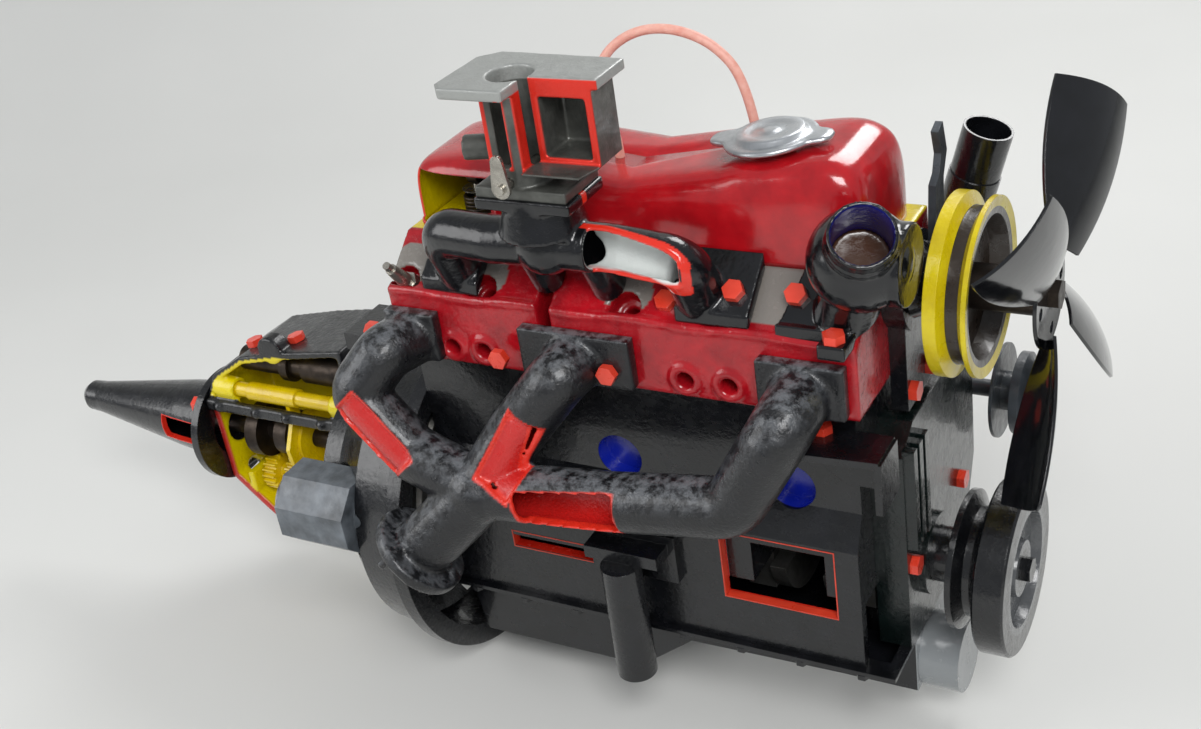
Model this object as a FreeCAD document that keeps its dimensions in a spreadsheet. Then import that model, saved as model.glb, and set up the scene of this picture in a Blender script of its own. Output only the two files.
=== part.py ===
"""Four-cylinder overhead-valve engine with its gearbox, cut open for teaching.

Millimetres. +X points to the fan, -Y to the side with both manifolds, +Z up.
The crankshaft turns on the X axis, and the origin lies midway between the two support posts.
"""
import FreeCAD, Part

import math
import os
import re

import Sketcher

Vector = FreeCAD.Vector
DOC = FreeCAD.newDocument("training_engine")

# Driving dimensions: name, value in millimetres (or degrees, or a count), meaning
SIZES = (
    ("bore", 73, "cylinder bore"),
    ("stroke", 70, "piston stroke"),
    ("bore_pitch", 92, "from one cylinder to the next"),
    ("rod_length", 115, "connecting rod, centre to centre"),
    ("crown_height", 34, "piston pin to crown"),
    ("skirt_length", 22, "piston pin to the lower edge of the skirt"),
    ("deck_gap", 1, "crown below the block's top at top dead centre"),
    ("piston_play", 0.06, "radial clearance of a piston in its bore"),
    ("running_play", 0.05, "radial clearance of a shaft in its bearing"),
    ("seat_gap", 0.3, "space between a moving piece and its neighbour"),
    ("piston_pin_radius", 10, "gudgeon pin"),
    ("main_radius", 25, "main journals"),
    ("main_length", 28, "main journals, along the shaft"),
    ("crankpin_radius", 20, "crankpins"),
    ("web_thickness", 15, "crank webs"),
    ("counterweight_radius", 54, "crank counterweights"),
    ("nose_radius", 15, "crankshaft nose"),
    ("rod_width", 26, "connecting rod at its big end"),
    ("rod_wall", 8, "metal round the big end"),
    ("bulkhead", 26, "thickness of a main bearing wall"),
    ("end_wall", 21, "end main bearing to the end of the block"),
    ("near_side", 95, "crankcase wall, manifold side, from the crank axis"),
    ("far_side", 100, "crankcase wall, camshaft side"),
    ("deck_near", 80, "top of the block, manifold side"),
    ("deck_far", 84, "top of the block, camshaft side"),
    ("case_wall", 10, "crankcase wall thickness"),
    ("pan_rail", 60, "sump joint below the crank axis"),
    ("gasket", 1.2, "head gasket thickness"),
    ("head_height", 101, "cylinder head, gasket face to cover face"),
    ("ledge_height", 64, "cylinder head, gasket face to the edge of the sloping ledge"),
    ("ledge_inner", 50, "sloping ledge, inner edge from the bore axis"),
    ("cam_offset", 62, "camshaft beside the crank axis"),
    ("gear_module", 3, "timing gears, module"),
    ("crank_teeth", 20, "teeth of the crank timing gear"),
    ("gear_width", 14, "timing gear face width"),
    ("cam_base", 13, "cam lobe base circle radius"),
    ("cam_nose", 18, "cam lobe nose from the cam axis"),
    ("cam_journal", 21, "camshaft bearing radius"),
    ("tappet_radius", 10, "tappet barrel"),
    ("tappet_length", 40, "tappet barrel length"),
    ("pushrod_radius", 4, "pushrod"),
    ("rocker_offset", 34, "rocker shaft beside the bore axis"),
    ("rocker_rise", 38, "rocker shaft above the head"),
    ("rocker_shaft_radius", 9, "rocker shaft"),
    ("valve_offset", 8, "valves beside the bore axis, manifold side"),
    ("valve_spacing", 40, "inlet to exhaust valve of one cylinder"),
    ("valve_radius", 13, "valve head"),
    ("stem_radius", 4, "valve stem"),
    ("chamber_depth", 12, "combustion chamber"),
    ("cover_near", 49, "rocker cover, manifold side"),
    ("cover_far", 76, "rocker cover, far side"),
    ("cover_length", 412, "rocker cover length"),
    ("cover_hump", 84, "rocker cover, height of its front hump"),
    ("cover_low", 56, "rocker cover, height of its middle"),
    ("cover_wall", 2.5, "rocker cover sheet thickness"),
    ("cap_radius", 37, "oil filler cap"),
    ("cap_place", 120, "oil filler cap, ahead of the origin"),
    ("pump_height", 262, "fan and water pump axis above the crank axis"),
    ("pump_foot", 156, "lower edge of the water pump above the crank axis"),
    ("belt_plane", 277, "middle of the belt grooves, ahead of the origin"),
    ("pump_pulley_radius", 72, "water pump pulley rim"),
    ("fan_radius", 162, "fan blade tip"),
    ("fan_place", 337, "middle of the blades, ahead of the origin"),
    ("fan_pitch", 32, "blade angle from the plane of the fan, degrees"),
    ("fan_phase", 40.6, "first blade from upright, degrees"),
    ("blade_thickness", 2.5, "fan blade sheet"),
    ("crank_pulley_radius", 75, "crank pulley rim"),
    ("crank_pulley_front", 315, "front face of the crank pulley"),
    ("damper_width", 26, "smooth rim of the crank pulley"),
    ("groove_radius", 60, "belt groove edge on the crank pulley"),
    ("alternator_y", 172, "alternator axis beside the crank axis"),
    ("alternator_z", 62, "alternator axis above the crank axis"),
    ("alternator_radius", 50, "alternator body"),
    ("bell_radius", 168, "bellhousing flange"),
    ("bell_drop", 8, "bellhousing axis below the crank axis"),
    ("bell_length", 140, "bellhousing length"),
    ("bell_wall", 6, "bellhousing wall"),
    ("starter_y", -128, "starter axis beside the crank axis"),
    ("starter_z", 24, "starter axis above the crank axis"),
    ("flywheel_radius", 116, "flywheel with its ring gear"),
    ("flywheel_width", 22, "flywheel thickness"),
    ("box_length", 195, "gearbox case length"),
    ("box_near", 28, "gearbox case, plane of its cut"),
    ("box_far", 66, "gearbox case, far side"),
    ("rail_side", 22, "selector rail beside the shaft axis"),
    ("rail_height", 61, "selector rail above the shaft axis"),
    ("box_top", 116, "gearbox case, top above the shaft axis"),
    ("box_bottom", 96, "gearbox case, bottom below the shaft axis"),
    ("box_wall", 7, "gearbox case wall"),
    ("shaft_radius", 14, "gearbox main shaft"),
    ("lay_drop", 54, "layshaft below the main shaft"),
    ("box_module", 2, "gearbox gears, module"),
    ("tail_length", 217, "extension housing length"),
    ("tail_radius", 17, "extension housing at its end"),
    ("tail_bore", 11, "extension housing bush"),
    ("thermostat_radius", 39, "thermostat housing bulb"),
    ("outlet_radius", 25, "coolant outlet spigot"),
    ("outlet_bore", 22, "coolant outlet bore"),
    ("inlet_tube_radius", 21, "coolant inlet tube"),
    ("inlet_seat", 40, "length of the hose seat on the inlet tube"),
    ("exhaust_radius", 25, "exhaust branch, outside"),
    ("exhaust_bore", 20, "exhaust branch, inside"),
    ("intake_radius", 20, "intake branch, outside"),
    ("intake_bore", 16, "intake branch, inside"),
    ("carb_bore", 18.4, "carburettor throat radius"),
    ("carb_foot", 366, "carburettor mounting face above the crank axis"),
    ("carb_height", 92, "carburettor body height"),
    ("carb_place", -32, "carburettor, ahead of the origin"),
    ("carb_out", 104, "carburettor, out from the crank axis"),
    ("post_span", 250, "distance between the two support posts"),
    ("post_radius", 18, "support post, outside"),
    ("post_bore", 14, "support post, inside"),
    ("bolt_radius", 4, "bolt shank"),
    ("bolt_head", 9, "bolt head, centre to corner"),
    ("bolt_head_height", 7, "bolt head height"),
)

# Sizes that follow from the driving dimensions
DERIVED = (
    ("deck", "stroke / 2 + rod_length + crown_height + deck_gap"),
    ("block_half", "2 * bore_pitch + end_wall"),
    ("head_foot", "deck + gasket"),
    ("head_top", "head_foot + head_height"),
    ("ledge_edge", "head_foot + ledge_height"),
    ("gear_centre", "gear_module * crank_teeth * 3 / 2"),
    ("cam_height", "sqrt(gear_centre * gear_centre - cam_offset * cam_offset)"),
    ("tappet_foot", "cam_height + cam_nose + seat_gap"),
    ("rocker_height", "head_top + rocker_rise"),
    ("valve_tip", "rocker_height - 8 - seat_gap"),
    ("valve_seat", "head_foot + chamber_depth"),
    ("bell_front", "-block_half"),
    ("bell_rear", "bell_front - bell_length"),
    ("box_rear", "bell_rear - box_length"),
    ("tail_end", "box_rear - tail_length"),
)

SHEET = DOC.addObject("Spreadsheet::Sheet", "Dim")
for row, (alias, value, meaning) in enumerate(SIZES, 1):
    SHEET.set(f"A{row}", meaning)
    SHEET.set(f"B{row}", str(value))
    SHEET.setAlias(f"B{row}", alias)
CALC = DOC.addObject("App::VarSet", "Calc")
DOC.recompute()
OWNER = {alias: "Dim." for alias, value, meaning in SIZES}


def bound(text):
    """The expression with each size's name led by the object that holds it."""
    return re.sub(r"[a-z_]\w*", lambda word: OWNER.get(word.group(), "") + word.group(), str(text))


for alias, formula in DERIVED:
    CALC.addProperty("App::PropertyFloat", alias)
    CALC.setExpression(alias, bound(formula))
    OWNER[alias] = "Calc."
DOC.recompute()


def size(alias):
    """A size's value as a plain number."""
    holder = SHEET if OWNER[alias] == "Dim." else CALC
    return float(getattr(holder, alias))


UPRIGHT = FreeCAD.Rotation()
ALONG_X = FreeCAD.Rotation(Vector(0, 1, 0), 90)
ALONG_Y = FreeCAD.Rotation(Vector(1, 0, 0), -90)
TURNS = {"X": ALONG_X, "Y": ALONG_Y, "Z": UPRIGHT}
PIECES = []


def place(thing, x=0, y=0, z=0, turn=UPRIGHT):
    """Put an object at a point given by three expressions."""
    thing.Placement = FreeCAD.Placement(Vector(), turn)
    for letter, text in zip("xyz", (x, y, z)):
        thing.setExpression("Placement.Base." + letter, bound(text))
    return thing


def box(name, length, width, height, x, y, z):
    """A box from its lowest corner."""
    thing = DOC.addObject("Part::Box", name)
    for side, text in (("Length", length), ("Width", width), ("Height", height)):
        thing.setExpression(side, bound(text))
    return place(thing, x, y, z)


def rod(name, radius, length, x=0, y=0, z=0, along="X"):
    """A round bar that starts at a point and runs along an axis."""
    thing = DOC.addObject("Part::Cylinder", name)
    thing.setExpression("Radius", bound(radius))
    thing.setExpression("Height", bound(length))
    return place(thing, x, y, z, TURNS[along] if isinstance(along, str) else along)


def cone(name, first, last, length, x=0, y=0, z=0, along="X"):
    """A round taper that starts at a point and runs along an axis."""
    thing = DOC.addObject("Part::Cone", name)
    thing.setExpression("Radius1", bound(first))
    thing.setExpression("Radius2", bound(last))
    thing.setExpression("Height", bound(length))
    return place(thing, x, y, z, TURNS[along] if isinstance(along, str) else along)


def fuse(name, things):
    """Several objects joined into one."""
    thing = DOC.addObject("Part::MultiFuse", name)
    thing.Shapes = list(things)
    thing.Refine = True
    return thing


def cut(name, base, tools):
    """An object less several others."""
    thing = DOC.addObject("Part::Cut", name)
    thing.Base = base
    if len(tools) == 1:
        thing.Tool = tools[0]
    else:
        thing.Tool = fuse(name + "_tools", tools)
        thing.Tool.Refine = False
    return thing


def group(name, things):
    """Separate solids kept together as one sub-part."""
    thing = DOC.addObject("Part::Compound", name)
    thing.Links = list(things)
    return thing


def piece(name, thing):
    """Name a finished sub-part."""
    thing.Label = name
    PIECES.append(thing)
    return thing


def made(name, shape):
    """A finished form worked out with Part's own functions."""
    thing = DOC.addObject("Part::Feature", name)
    thing.Shape = shape
    return thing


def outline(body, plane, points):
    """A closed polygon on one of the body's planes, each corner tied to two expressions."""
    sketch = body.newObject("Sketcher::SketchObject", body.Name + "_sketch")
    support = [item for item in body.Origin.OriginFeatures if item.Role == plane]
    sketch.AttachmentSupport = (support[0], [""])
    sketch.MapMode = "FlatFace"
    count = len(points)
    for index in range(count):
        turn = 2 * math.pi * index / count
        after = 2 * math.pi * (index + 1) / count
        start = Vector(100 * math.cos(turn), 100 * math.sin(turn), 0)
        end = Vector(100 * math.cos(after), 100 * math.sin(after), 0)
        sketch.addGeometry(Part.LineSegment(start, end), False)
    for index in range(count):
        sketch.addConstraint(Sketcher.Constraint("Coincident", index, 2, (index + 1) % count, 1))
    for index, corner in enumerate(points):
        for kind, text in zip(("DistanceX", "DistanceY"), corner):
            number = sketch.addConstraint(Sketcher.Constraint(kind, -1, 1, index, 1, 10.0 + index))
            sketch.setExpression(f"Constraints[{number}]", bound(text))
    return sketch


def plate(name, plane, points, thickness, x=0, y=0, z=0):
    """A flat piece: a polygon on a plane, padded to a thickness."""
    body = DOC.addObject("PartDesign::Body", name)
    sketch = outline(body, plane + "_Plane", points)
    pad = body.newObject("PartDesign::Pad", name + "_pad")
    pad.Profile = sketch
    pad.setExpression("Length", bound(thickness))
    return place(body, x, y, z)


def turned(name, points, x=0, y=0, z=0, turn=UPRIGHT):
    """A turned piece: corners are (distance along X, radius), spun about X."""
    body = DOC.addObject("PartDesign::Body", name)
    sketch = outline(body, "XZ_Plane", points)
    spin = body.newObject("PartDesign::Revolution", name + "_spin")
    spin.Profile = sketch
    spin.ReferenceAxis = (sketch, ["H_Axis"])
    spin.Angle = 360
    return place(body, x, y, z, turn)


def route(points, bend):
    """A path of straight runs joined by tangent arcs."""
    corners = [Vector(*point) for point in points]
    edges = []
    start = corners[0]
    for before, corner, after in zip(corners, corners[1:], corners[2:]):
        back = (before - corner).normalize()
        ahead = (after - corner).normalize()
        half = back.getAngle(ahead) / 2
        reach = bend / math.tan(half)
        first = corner + back * reach
        last = corner + ahead * reach
        middle = corner + (back + ahead).normalize() * (bend / math.sin(half) - bend)
        edges += [Part.LineSegment(start, first).toShape(), Part.Arc(first, middle, last).toShape()]
        start = last
    edges.append(Part.LineSegment(start, corners[-1]).toShape())
    return Part.Wire(edges)


def tube(points, bend, radius):
    """A round bar that follows a path."""
    path = route(points, bend)
    heading = Vector(*points[1]) - Vector(*points[0])
    ring = Part.Wire(Part.makeCircle(radius, Vector(*points[0]), heading))
    return path.makePipeShell([ring], True, False)


def lobe(first, second, distance):
    """A flat drop shape: two circles, the second up the Z axis, with their common tangents, facing X."""
    lean = math.asin((first - second) / distance)
    across = Vector(0, math.cos(lean), math.sin(lean))
    back = Vector(0, -math.cos(lean), math.sin(lean))
    far = Vector(0, 0, distance)
    edges = [
        Part.Arc(across * first, Vector(0, 0, -first), back * first).toShape(),
        Part.LineSegment(back * first, far + back * second).toShape(),
        Part.Arc(far + back * second, Vector(0, 0, distance + second), far + across * second).toShape(),
        Part.LineSegment(far + across * second, across * first).toShape(),
    ]
    return Part.Face(Part.Wire(edges))


def polygon(points, thickness):
    """A flat polygon swept along a vector."""
    corners = [Vector(*point) for point in points]
    return Part.Face(Part.makePolygon(corners + corners[:1])).extrude(Vector(*thickness))


def gear(teeth, module, width, bore, phase=0.0, helix_free=0.12):
    """A spur gear along X from the origin; its first tooth points up when the phase is 0."""
    outer = module * (teeth / 2 + 0.85)
    root = module * (teeth / 2 - 1.1)
    step = 2 * math.pi / teeth
    corners = []
    for tooth in range(teeth):
        middle = phase + tooth * step
        for radius, share in ((root, -0.37), (outer, -0.14), (outer, 0.14), (root, 0.37)):
            angle = middle + share * step * (1 - helix_free / 4)
            corners.append((0, radius * math.sin(angle), radius * math.cos(angle)))
    blank = polygon(corners, (width, 0, 0))
    return blank.cut(Part.makeCylinder(bore, width, Vector(), Vector(1, 0, 0)))


def hexagon(radius, height, place_at, axis):
    """A bolt head that stands on a point, along an axis."""
    corners = [Vector(radius * math.cos(math.pi * k / 3), radius * math.sin(math.pi * k / 3), 0) for k in range(6)]
    head = Part.Face(Part.makePolygon(corners + corners[:1])).extrude(Vector(0, 0, height))
    head.Placement = FreeCAD.Placement(Vector(*place_at), FreeCAD.Rotation(Vector(0, 0, 1), Vector(*axis)))
    return head


CYLINDERS = [(number, (2.5 - number)) for number in (1, 2, 3, 4)]
MAINS = (2, 1, 0, -1, -2)


# Cylinder block
def cylinder_block():
    corners = (
        ("-near_side", "-pan_rail"), ("-near_side", "58"), ("-deck_near", "88"), ("-deck_near", "deck"),
        ("deck_far", "deck"), ("deck_far", "120"), ("far_side", "104"), ("far_side", "-pan_rail"),
    )
    casting = plate("block_casting", "YZ", corners, "2 * block_half", x="-block_half")
    tools = [
        box("crankcase_room", "2 * block_half + 2", "near_side + far_side - 2 * case_wall", "pan_rail + 1",
            "-block_half - 1", "case_wall - near_side", "-pan_rail - 1"),
        rod("main_tunnel", "main_radius + running_play", "2 * block_half + 2", x="-block_half - 1"),
        rod("cam_tunnel", "cam_journal + running_play", "2 * block_half + 2",
            "-block_half - 1", "cam_offset", "cam_height"),
        box("side_window", "bore_pitch + 10", "case_wall + 2", "68", "82", "-near_side - 1", "-13"),
        box("side_slot", "100", "case_wall + 2", "12", "-130", "-near_side - 1", "-6"),
    ]
    room = (
        ("case_wall - near_side", "-2"), ("case_wall - near_side", "40"), ("-60", "60"), ("42", "60"),
        ("42", "tappet_foot"), ("deck_far - 4", "tappet_foot"), ("far_side - case_wall", "60"),
        ("far_side - case_wall", "-2"),
    )
    for number, place_x in CYLINDERS:
        centre = f"bore_pitch * {place_x}"
        tools.append(plate(f"bay_{number}", "YZ", room, "bore_pitch - bulkhead",
                           x=f"{centre} - (bore_pitch - bulkhead) / 2"))
        tools.append(rod(f"bore_{number}", "bore / 2", "deck", centre, "0", "50", "Z"))
        for side in (-1, 1):
            x = f"{centre} + {side} * valve_spacing / 2"
            tools.append(rod(f"tappet_bore_{number}_{side + 1}", "tappet_radius + running_play",
                             "tappet_length + 12", x, "cam_offset", "tappet_foot - 2", "Z"))
            tools.append(rod(f"pushrod_bore_{number}_{side + 1}", "pushrod_radius + 3", "deck",
                             x, "cam_offset", "tappet_foot", "Z"))
    for name, x in (("front", "146"), ("rear", "-12")):
        tools.append(rod(f"{name}_core_hole", "21", "24", x, "-deck_near - 8", "104", "Y"))
    return piece("cylinder_block", cut("cylinder_block", casting, tools))


def main_bearing_caps():
    caps = []
    for index in MAINS:
        x = f"bore_pitch * {index} - bulkhead / 2"
        blank = box(f"cap_blank_{index + 2}", "bulkhead", "2 * main_radius + 34", "main_radius + 14",
                    x, "-main_radius - 17", "-main_radius - 14")
        hole = rod(f"cap_hole_{index + 2}", "main_radius + running_play", "bulkhead + 2", f"{x} - 1")
        caps.append(cut(f"bearing_cap_{index + 2}", blank, [hole]))
    return piece("main_bearing_caps", group("main_bearing_caps", caps))


# Sump: flange, deep rear tray with sloping front, and a shallow bulge under the timing case
def oil_pan():
    rail = box("pan_flange", "2 * block_half + 28", "near_side + far_side + 12", "4",
               "-block_half", "-near_side - 6", "-pan_rail - 4")
    tray = (
        ("6 - block_half", "-pan_rail - 3"), ("16 - block_half", "-128"), ("-20", "-128"),
        ("36", "-84"), ("block_half + 16", "-80"), ("block_half + 22", "-pan_rail - 3"),
    )
    deep = plate("pan_tray", "XZ", tray, "near_side + far_side - 20", y="far_side - 10")
    bulge = box("pan_bulge", "72", "84", "56", "block_half - 50", "-30", "-134")
    nose = rod("pan_nose", "34", "54", "block_half + 3", "6", "-112")
    skirt = fuse("pan_outside", [rail, deep, bulge, nose])
    hollow = (
        ("10 - block_half", "-pan_rail + 1"), ("19 - block_half", "-125"), ("-21", "-125"),
        ("35", "-81"), ("block_half + 13", "-77"), ("block_half + 18", "-pan_rail + 1"),
    )
    inside = plate("pan_inside", "XZ", hollow, "near_side + far_side - 26", y="far_side - 13")
    bulge_inside = box("bulge_inside", "66", "78", "60", "block_half - 47", "-27", "-131")
    nose_inside = rod("nose_inside", "31", "66", "block_half - 12", "6", "-112")
    return piece("oil_pan", cut("oil_pan", skirt, [inside, bulge_inside, nose_inside]))


def sump_bolts():
    heads = []
    for side, y in (("near", -size("near_side") - 1), ("far", size("far_side") + 1)):
        for step in range(8):
            x = -size("block_half") + 22 + step * (2 * size("block_half") - 24) / 7
            heads.append(hexagon(6, 5, (x, y, -size("pan_rail") - 4), (0, 0, -1)))
    return piece("sump_bolts", made("sump_bolts", Part.makeCompound(heads)))


# Cylinder head: sloping machined ledge on the manifold side with four plug wells
LEDGE_TURN = FreeCAD.Rotation(Vector(1, 0, 0), 40)
WELLS = (("rear", "-196"), ("second", "-118"), ("third", "18"), ("front", "100"))


def cylinder_head():
    corners = (
        ("-near_side", "head_foot"), ("-near_side", "ledge_edge"), ("-ledge_inner", "head_top"),
        ("cover_far + 6", "head_top"), ("cover_far + 6", "head_foot"),
    )
    casting = plate("head_casting", "YZ", corners, "2 * block_half + 16", x="-block_half - 6")
    tools = [
        box("head_slot", "12", "30", "48", "-62", "-near_side - 1", "ledge_edge - 36"),
        rod("front_water_port", "20", "30", "block_half - 10", "0", "head_foot + 50", "X"),
    ]
    for number, place_x in CYLINDERS:
        centre = f"bore_pitch * {place_x}"
        tools.append(rod(f"chamber_{number}", "bore / 2 - 0.5", "chamber_depth + 1", centre, "0", "head_foot - 1", "Z"))
        for side in (-1, 1):
            x = f"{centre} + {side} * valve_spacing / 2"
            tools.append(rod(f"throat_{number}_{side + 1}", "valve_radius", "9", x, "-valve_offset",
                             "valve_seat - 1", "Z"))
            tools.append(rod(f"guide_{number}_{side + 1}", "stem_radius + running_play", "head_height + 10",
                             x, "-valve_offset", "head_foot", "Z"))
            tools.append(rod(f"head_pushrod_{number}_{side + 1}", "pushrod_radius + 3", "head_height + 2",
                             x, "cam_offset", "head_foot - 1", "Z"))
    for name, x in WELLS:
        tools.append(rod(f"{name}_plug_well", "14", "60", x, "-76", "ledge_edge - 6", LEDGE_TURN))
        tools.append(rod(f"{name}_plug_hole", "7", "70", x, "-76 + 0.643 * 40", "ledge_edge - 6 - 0.766 * 40", LEDGE_TURN))
    for name, x in (("rear", "-186"), ("middle_rear", "-48"), ("middle_front", "0"), ("front", "172")):
        tools.append(rod(f"{name}_exhaust_port", "exhaust_bore - 3", "50", x, "-near_side - 1", "head_foot + 24", "Y"))
    for name, x in (("first", "-152"), ("second", "-120"), ("third", "70"), ("fourth", "108")):
        tools.append(rod(f"{name}_side_hole", "7", "24", x, "-near_side - 1", "head_foot + 16", "Y"))
    return piece("cylinder_head", cut("cylinder_head", casting, tools))


def head_gasket():
    sheet = box("gasket_sheet", "2 * block_half", "deck_near + deck_far", "gasket", "-block_half", "-deck_near", "deck")
    holes = []
    for number, place_x in CYLINDERS:
        centre = f"bore_pitch * {place_x}"
        holes.append(rod(f"gasket_bore_{number}", "bore / 2 + 1", "gasket + 2", centre, "0", "deck - 1", "Z"))
        for side in (-1, 1):
            holes.append(rod(f"gasket_pushrod_{number}_{side + 1}", "pushrod_radius + 3", "gasket + 2",
                             f"{centre} + {side} * valve_spacing / 2", "cam_offset", "deck - 1", "Z"))
    return piece("head_gasket", cut("head_gasket", sheet, holes))


# Rocker cover: a pressed lid with a tall front hump, low middle and its rear corner cut away
def cover_form(name, shrink, foot):
    """The cover's outside moved inwards by a distance, standing on a height."""
    half = f"cover_length / 2 - {shrink}"
    long_view = (
        (f"-({half})", foot), (f"-({half})", f"head_top + cover_low - 4 - {shrink}"),
        (f"-({half}) + 14", f"head_top + cover_low + 10 - {shrink}"), ("-70", f"head_top + cover_low + 10 - {shrink}"),
        ("-48", f"head_top + cover_low - {shrink}"), ("36", f"head_top + cover_low - {shrink}"),
        ("78", f"head_top + cover_low + 14 - {shrink}"), ("cap_place - 8", f"head_top + cover_hump - 6 - {shrink}"),
        ("cap_place + 52", f"head_top + cover_hump - {shrink}"), (f"{half} - 14", f"head_top + cover_hump - 4 - {shrink}"),
        (f"{half}", f"head_top + cover_low + 8 - {shrink}"), (f"{half}", foot),
    )
    length = plate(name + "_long", "XZ", long_view, "cover_near + cover_far + 40", y="cover_far + 20")
    near, far = f"-(cover_near - {shrink})", f"cover_far - {shrink}"
    end_view = (
        (near, foot), (near, f"head_top + cover_low - 24 - {shrink} / 2"), (f"{near} + 16", f"head_top + cover_low + 2 - {shrink} / 2"),
        (f"{near} + 22", "head_top + cover_hump + 1"), (f"{far} - 30", "head_top + cover_hump + 1"),
        (f"{far} - 24", f"head_top + cover_low + 10 - {shrink} / 2"), (far, f"head_top + cover_low - 2 - {shrink} / 2"),
        (far, foot),
    )
    across = plate(name + "_end", "YZ", end_view, "cover_length", x="-cover_length / 2")
    both = DOC.addObject("Part::Common", name)
    both.Base = length
    both.Tool = across
    return both


def rocker_cover():
    outside = cover_form("cover_outside", "0", "head_top")
    inside = cover_form("cover_inside", "cover_wall", "head_top - 5")
    corner = box("cover_opening", "86", "cover_near + 20", "cover_low - 4", "-cover_length / 2 - 1",
                 "-cover_near - 1", "head_top + 4")
    filler = rod("filler_hole", "17", "60", "cap_place", "0", "head_top + cover_low", "Z")
    return piece("rocker_cover", cut("rocker_cover", outside, [inside, corner, filler]))


def oil_filler_cap():
    """Round pressed cap with two finger ears, a raised middle and a neck that seats in the cover."""
    height = size("head_top") + size("cover_hump") + 0.2
    at = Vector(size("cap_place"), 0, height)
    radius = size("cap_radius")
    disc = Part.makeCylinder(radius, 5, at)
    dome = Part.makeCone(radius - 8, radius - 14, 5, at + Vector(0, 0, 5))
    ears = [
        Part.makeCylinder(11, 5, at + Vector(side * (radius + 3), 0, 0)) for side in (-1, 1)
    ]
    neck = Part.makeCylinder(16.5, 30, at - Vector(0, 0, 30))
    cap = disc.multiFuse([dome, neck] + ears)
    return piece("oil_filler_cap", made("oil_filler_cap", cap.removeSplitter()))


# Valve gear
def rocker_shaft():
    parts = [rod("shaft_bar", "rocker_shaft_radius", "3.75 * bore_pitch", "-1.875 * bore_pitch",
                 "rocker_offset", "rocker_height")]
    for number, place_x in CYLINDERS:
        parts.append(box(f"pedestal_{number}", "13", "24", "rocker_rise + 14", f"bore_pitch * {place_x} - 6.5",
                         "rocker_offset - 12", "head_top"))
    return piece("rocker_shaft", fuse("rocker_shaft", parts))


def rocker(x):
    """One rocker arm about the shaft: hub, pad over the valve and screw over the pushrod."""
    reach = size("rocker_offset") + size("valve_offset")
    out = size("cam_offset") - size("rocker_offset")
    hub = Part.makeCylinder(size("rocker_shaft_radius") + 6, 16, Vector(-8, 0, 0), Vector(1, 0, 0))
    valve_arm = lobe(11, 8, reach).extrude(Vector(10, 0, 0))
    valve_arm.rotate(Vector(), Vector(1, 0, 0), 90)
    valve_arm.translate(Vector(-5, 0, 0))
    push_arm = lobe(11, 8, out).extrude(Vector(10, 0, 0))
    push_arm.rotate(Vector(), Vector(1, 0, 0), -90)
    push_arm.translate(Vector(-5, 0, 0))
    arm = hub.multiFuse([valve_arm, push_arm])
    arm = arm.cut(Part.makeCylinder(size("rocker_shaft_radius") + size("running_play"), 30,
                                    Vector(-15, 0, 0), Vector(1, 0, 0)))
    arm.translate(Vector(x, size("rocker_offset"), size("rocker_height")))
    return arm


def valve_places():
    """Where the eight valves stand along the engine; the last is the rear one that can be worked."""
    half = size("valve_spacing") / 2
    pitch = size("bore_pitch")
    return [pitch * place_x + side * half for number, place_x in CYLINDERS for side in (1, -1)]


def rocker_arms():
    arms = [rocker(x) for x in valve_places()]
    piece("rear_rocker_arm", made("rear_rocker_arm", arms[-1]))
    return piece("rocker_arms", made("rocker_arms", Part.makeCompound(arms[:-1])))


def valve(x):
    """A poppet valve with its spring retainer."""
    seat = size("valve_seat")
    y = -size("valve_offset")
    stem = Part.makeCylinder(size("stem_radius"), size("valve_tip") - seat, Vector(x, y, seat))
    head = Part.makeCylinder(size("valve_radius"), 3, Vector(x, y, seat - 6))
    neck = Part.makeCone(size("valve_radius") - 2, size("stem_radius") - 0.5, 9, Vector(x, y, seat - 3))
    retainer = Part.makeCone(8, 14, 4, Vector(x, y, size("valve_tip") - 8))
    return stem.multiFuse([head, neck, retainer])


def valves():
    shapes = [valve(x) for x in valve_places()]
    piece("rear_valve", made("rear_valve", shapes[-1]))
    return piece("valves", made("valves", Part.makeCompound(shapes[:-1])))


def valve_springs():
    """Each spring is one closed ringed sleeve between the head and its retainer."""
    foot = size("head_top") + size("seat_gap")
    top = size("valve_tip") - 8 - size("seat_gap")
    coils = 5
    pitch = (top - foot) / coils
    corners = [Vector(9, 0, foot)]
    for coil in range(coils):
        corners += [Vector(11, 0, foot + coil * pitch), Vector(13.5, 0, foot + (coil + 0.5) * pitch)]
    corners += [Vector(11, 0, top), Vector(9, 0, top)]
    profile = Part.Face(Part.makePolygon(corners + corners[:1]))
    sleeve = profile.revolve(Vector(), Vector(0, 0, 1), 360)
    shapes = []
    for x in valve_places():
        copy = sleeve.copy()
        copy.translate(Vector(x, -size("valve_offset"), 0))
        shapes.append(copy)
    return piece("valve_springs", made("valve_springs", Part.makeCompound(shapes)))


def pushrods():
    """Bucket tappet and pushrod of each valve, the ball just under its rocker."""
    foot = size("tappet_foot")
    top = size("rocker_height") - 9 - size("seat_gap")
    pairs = []
    for x in valve_places():
        barrel = Part.makeCylinder(size("tappet_radius"), size("tappet_length"), Vector(x, size("cam_offset"), foot))
        stem = Part.makeCylinder(size("pushrod_radius"), top - foot - size("tappet_length"),
                                 Vector(x, size("cam_offset"), foot + size("tappet_length")))
        pairs.append(barrel.fuse(stem))
    piece("rear_pushrod", made("rear_pushrod", pairs[-1]))
    return piece("pushrods", made("pushrods", Part.makeCompound(pairs[:-1])))


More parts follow.
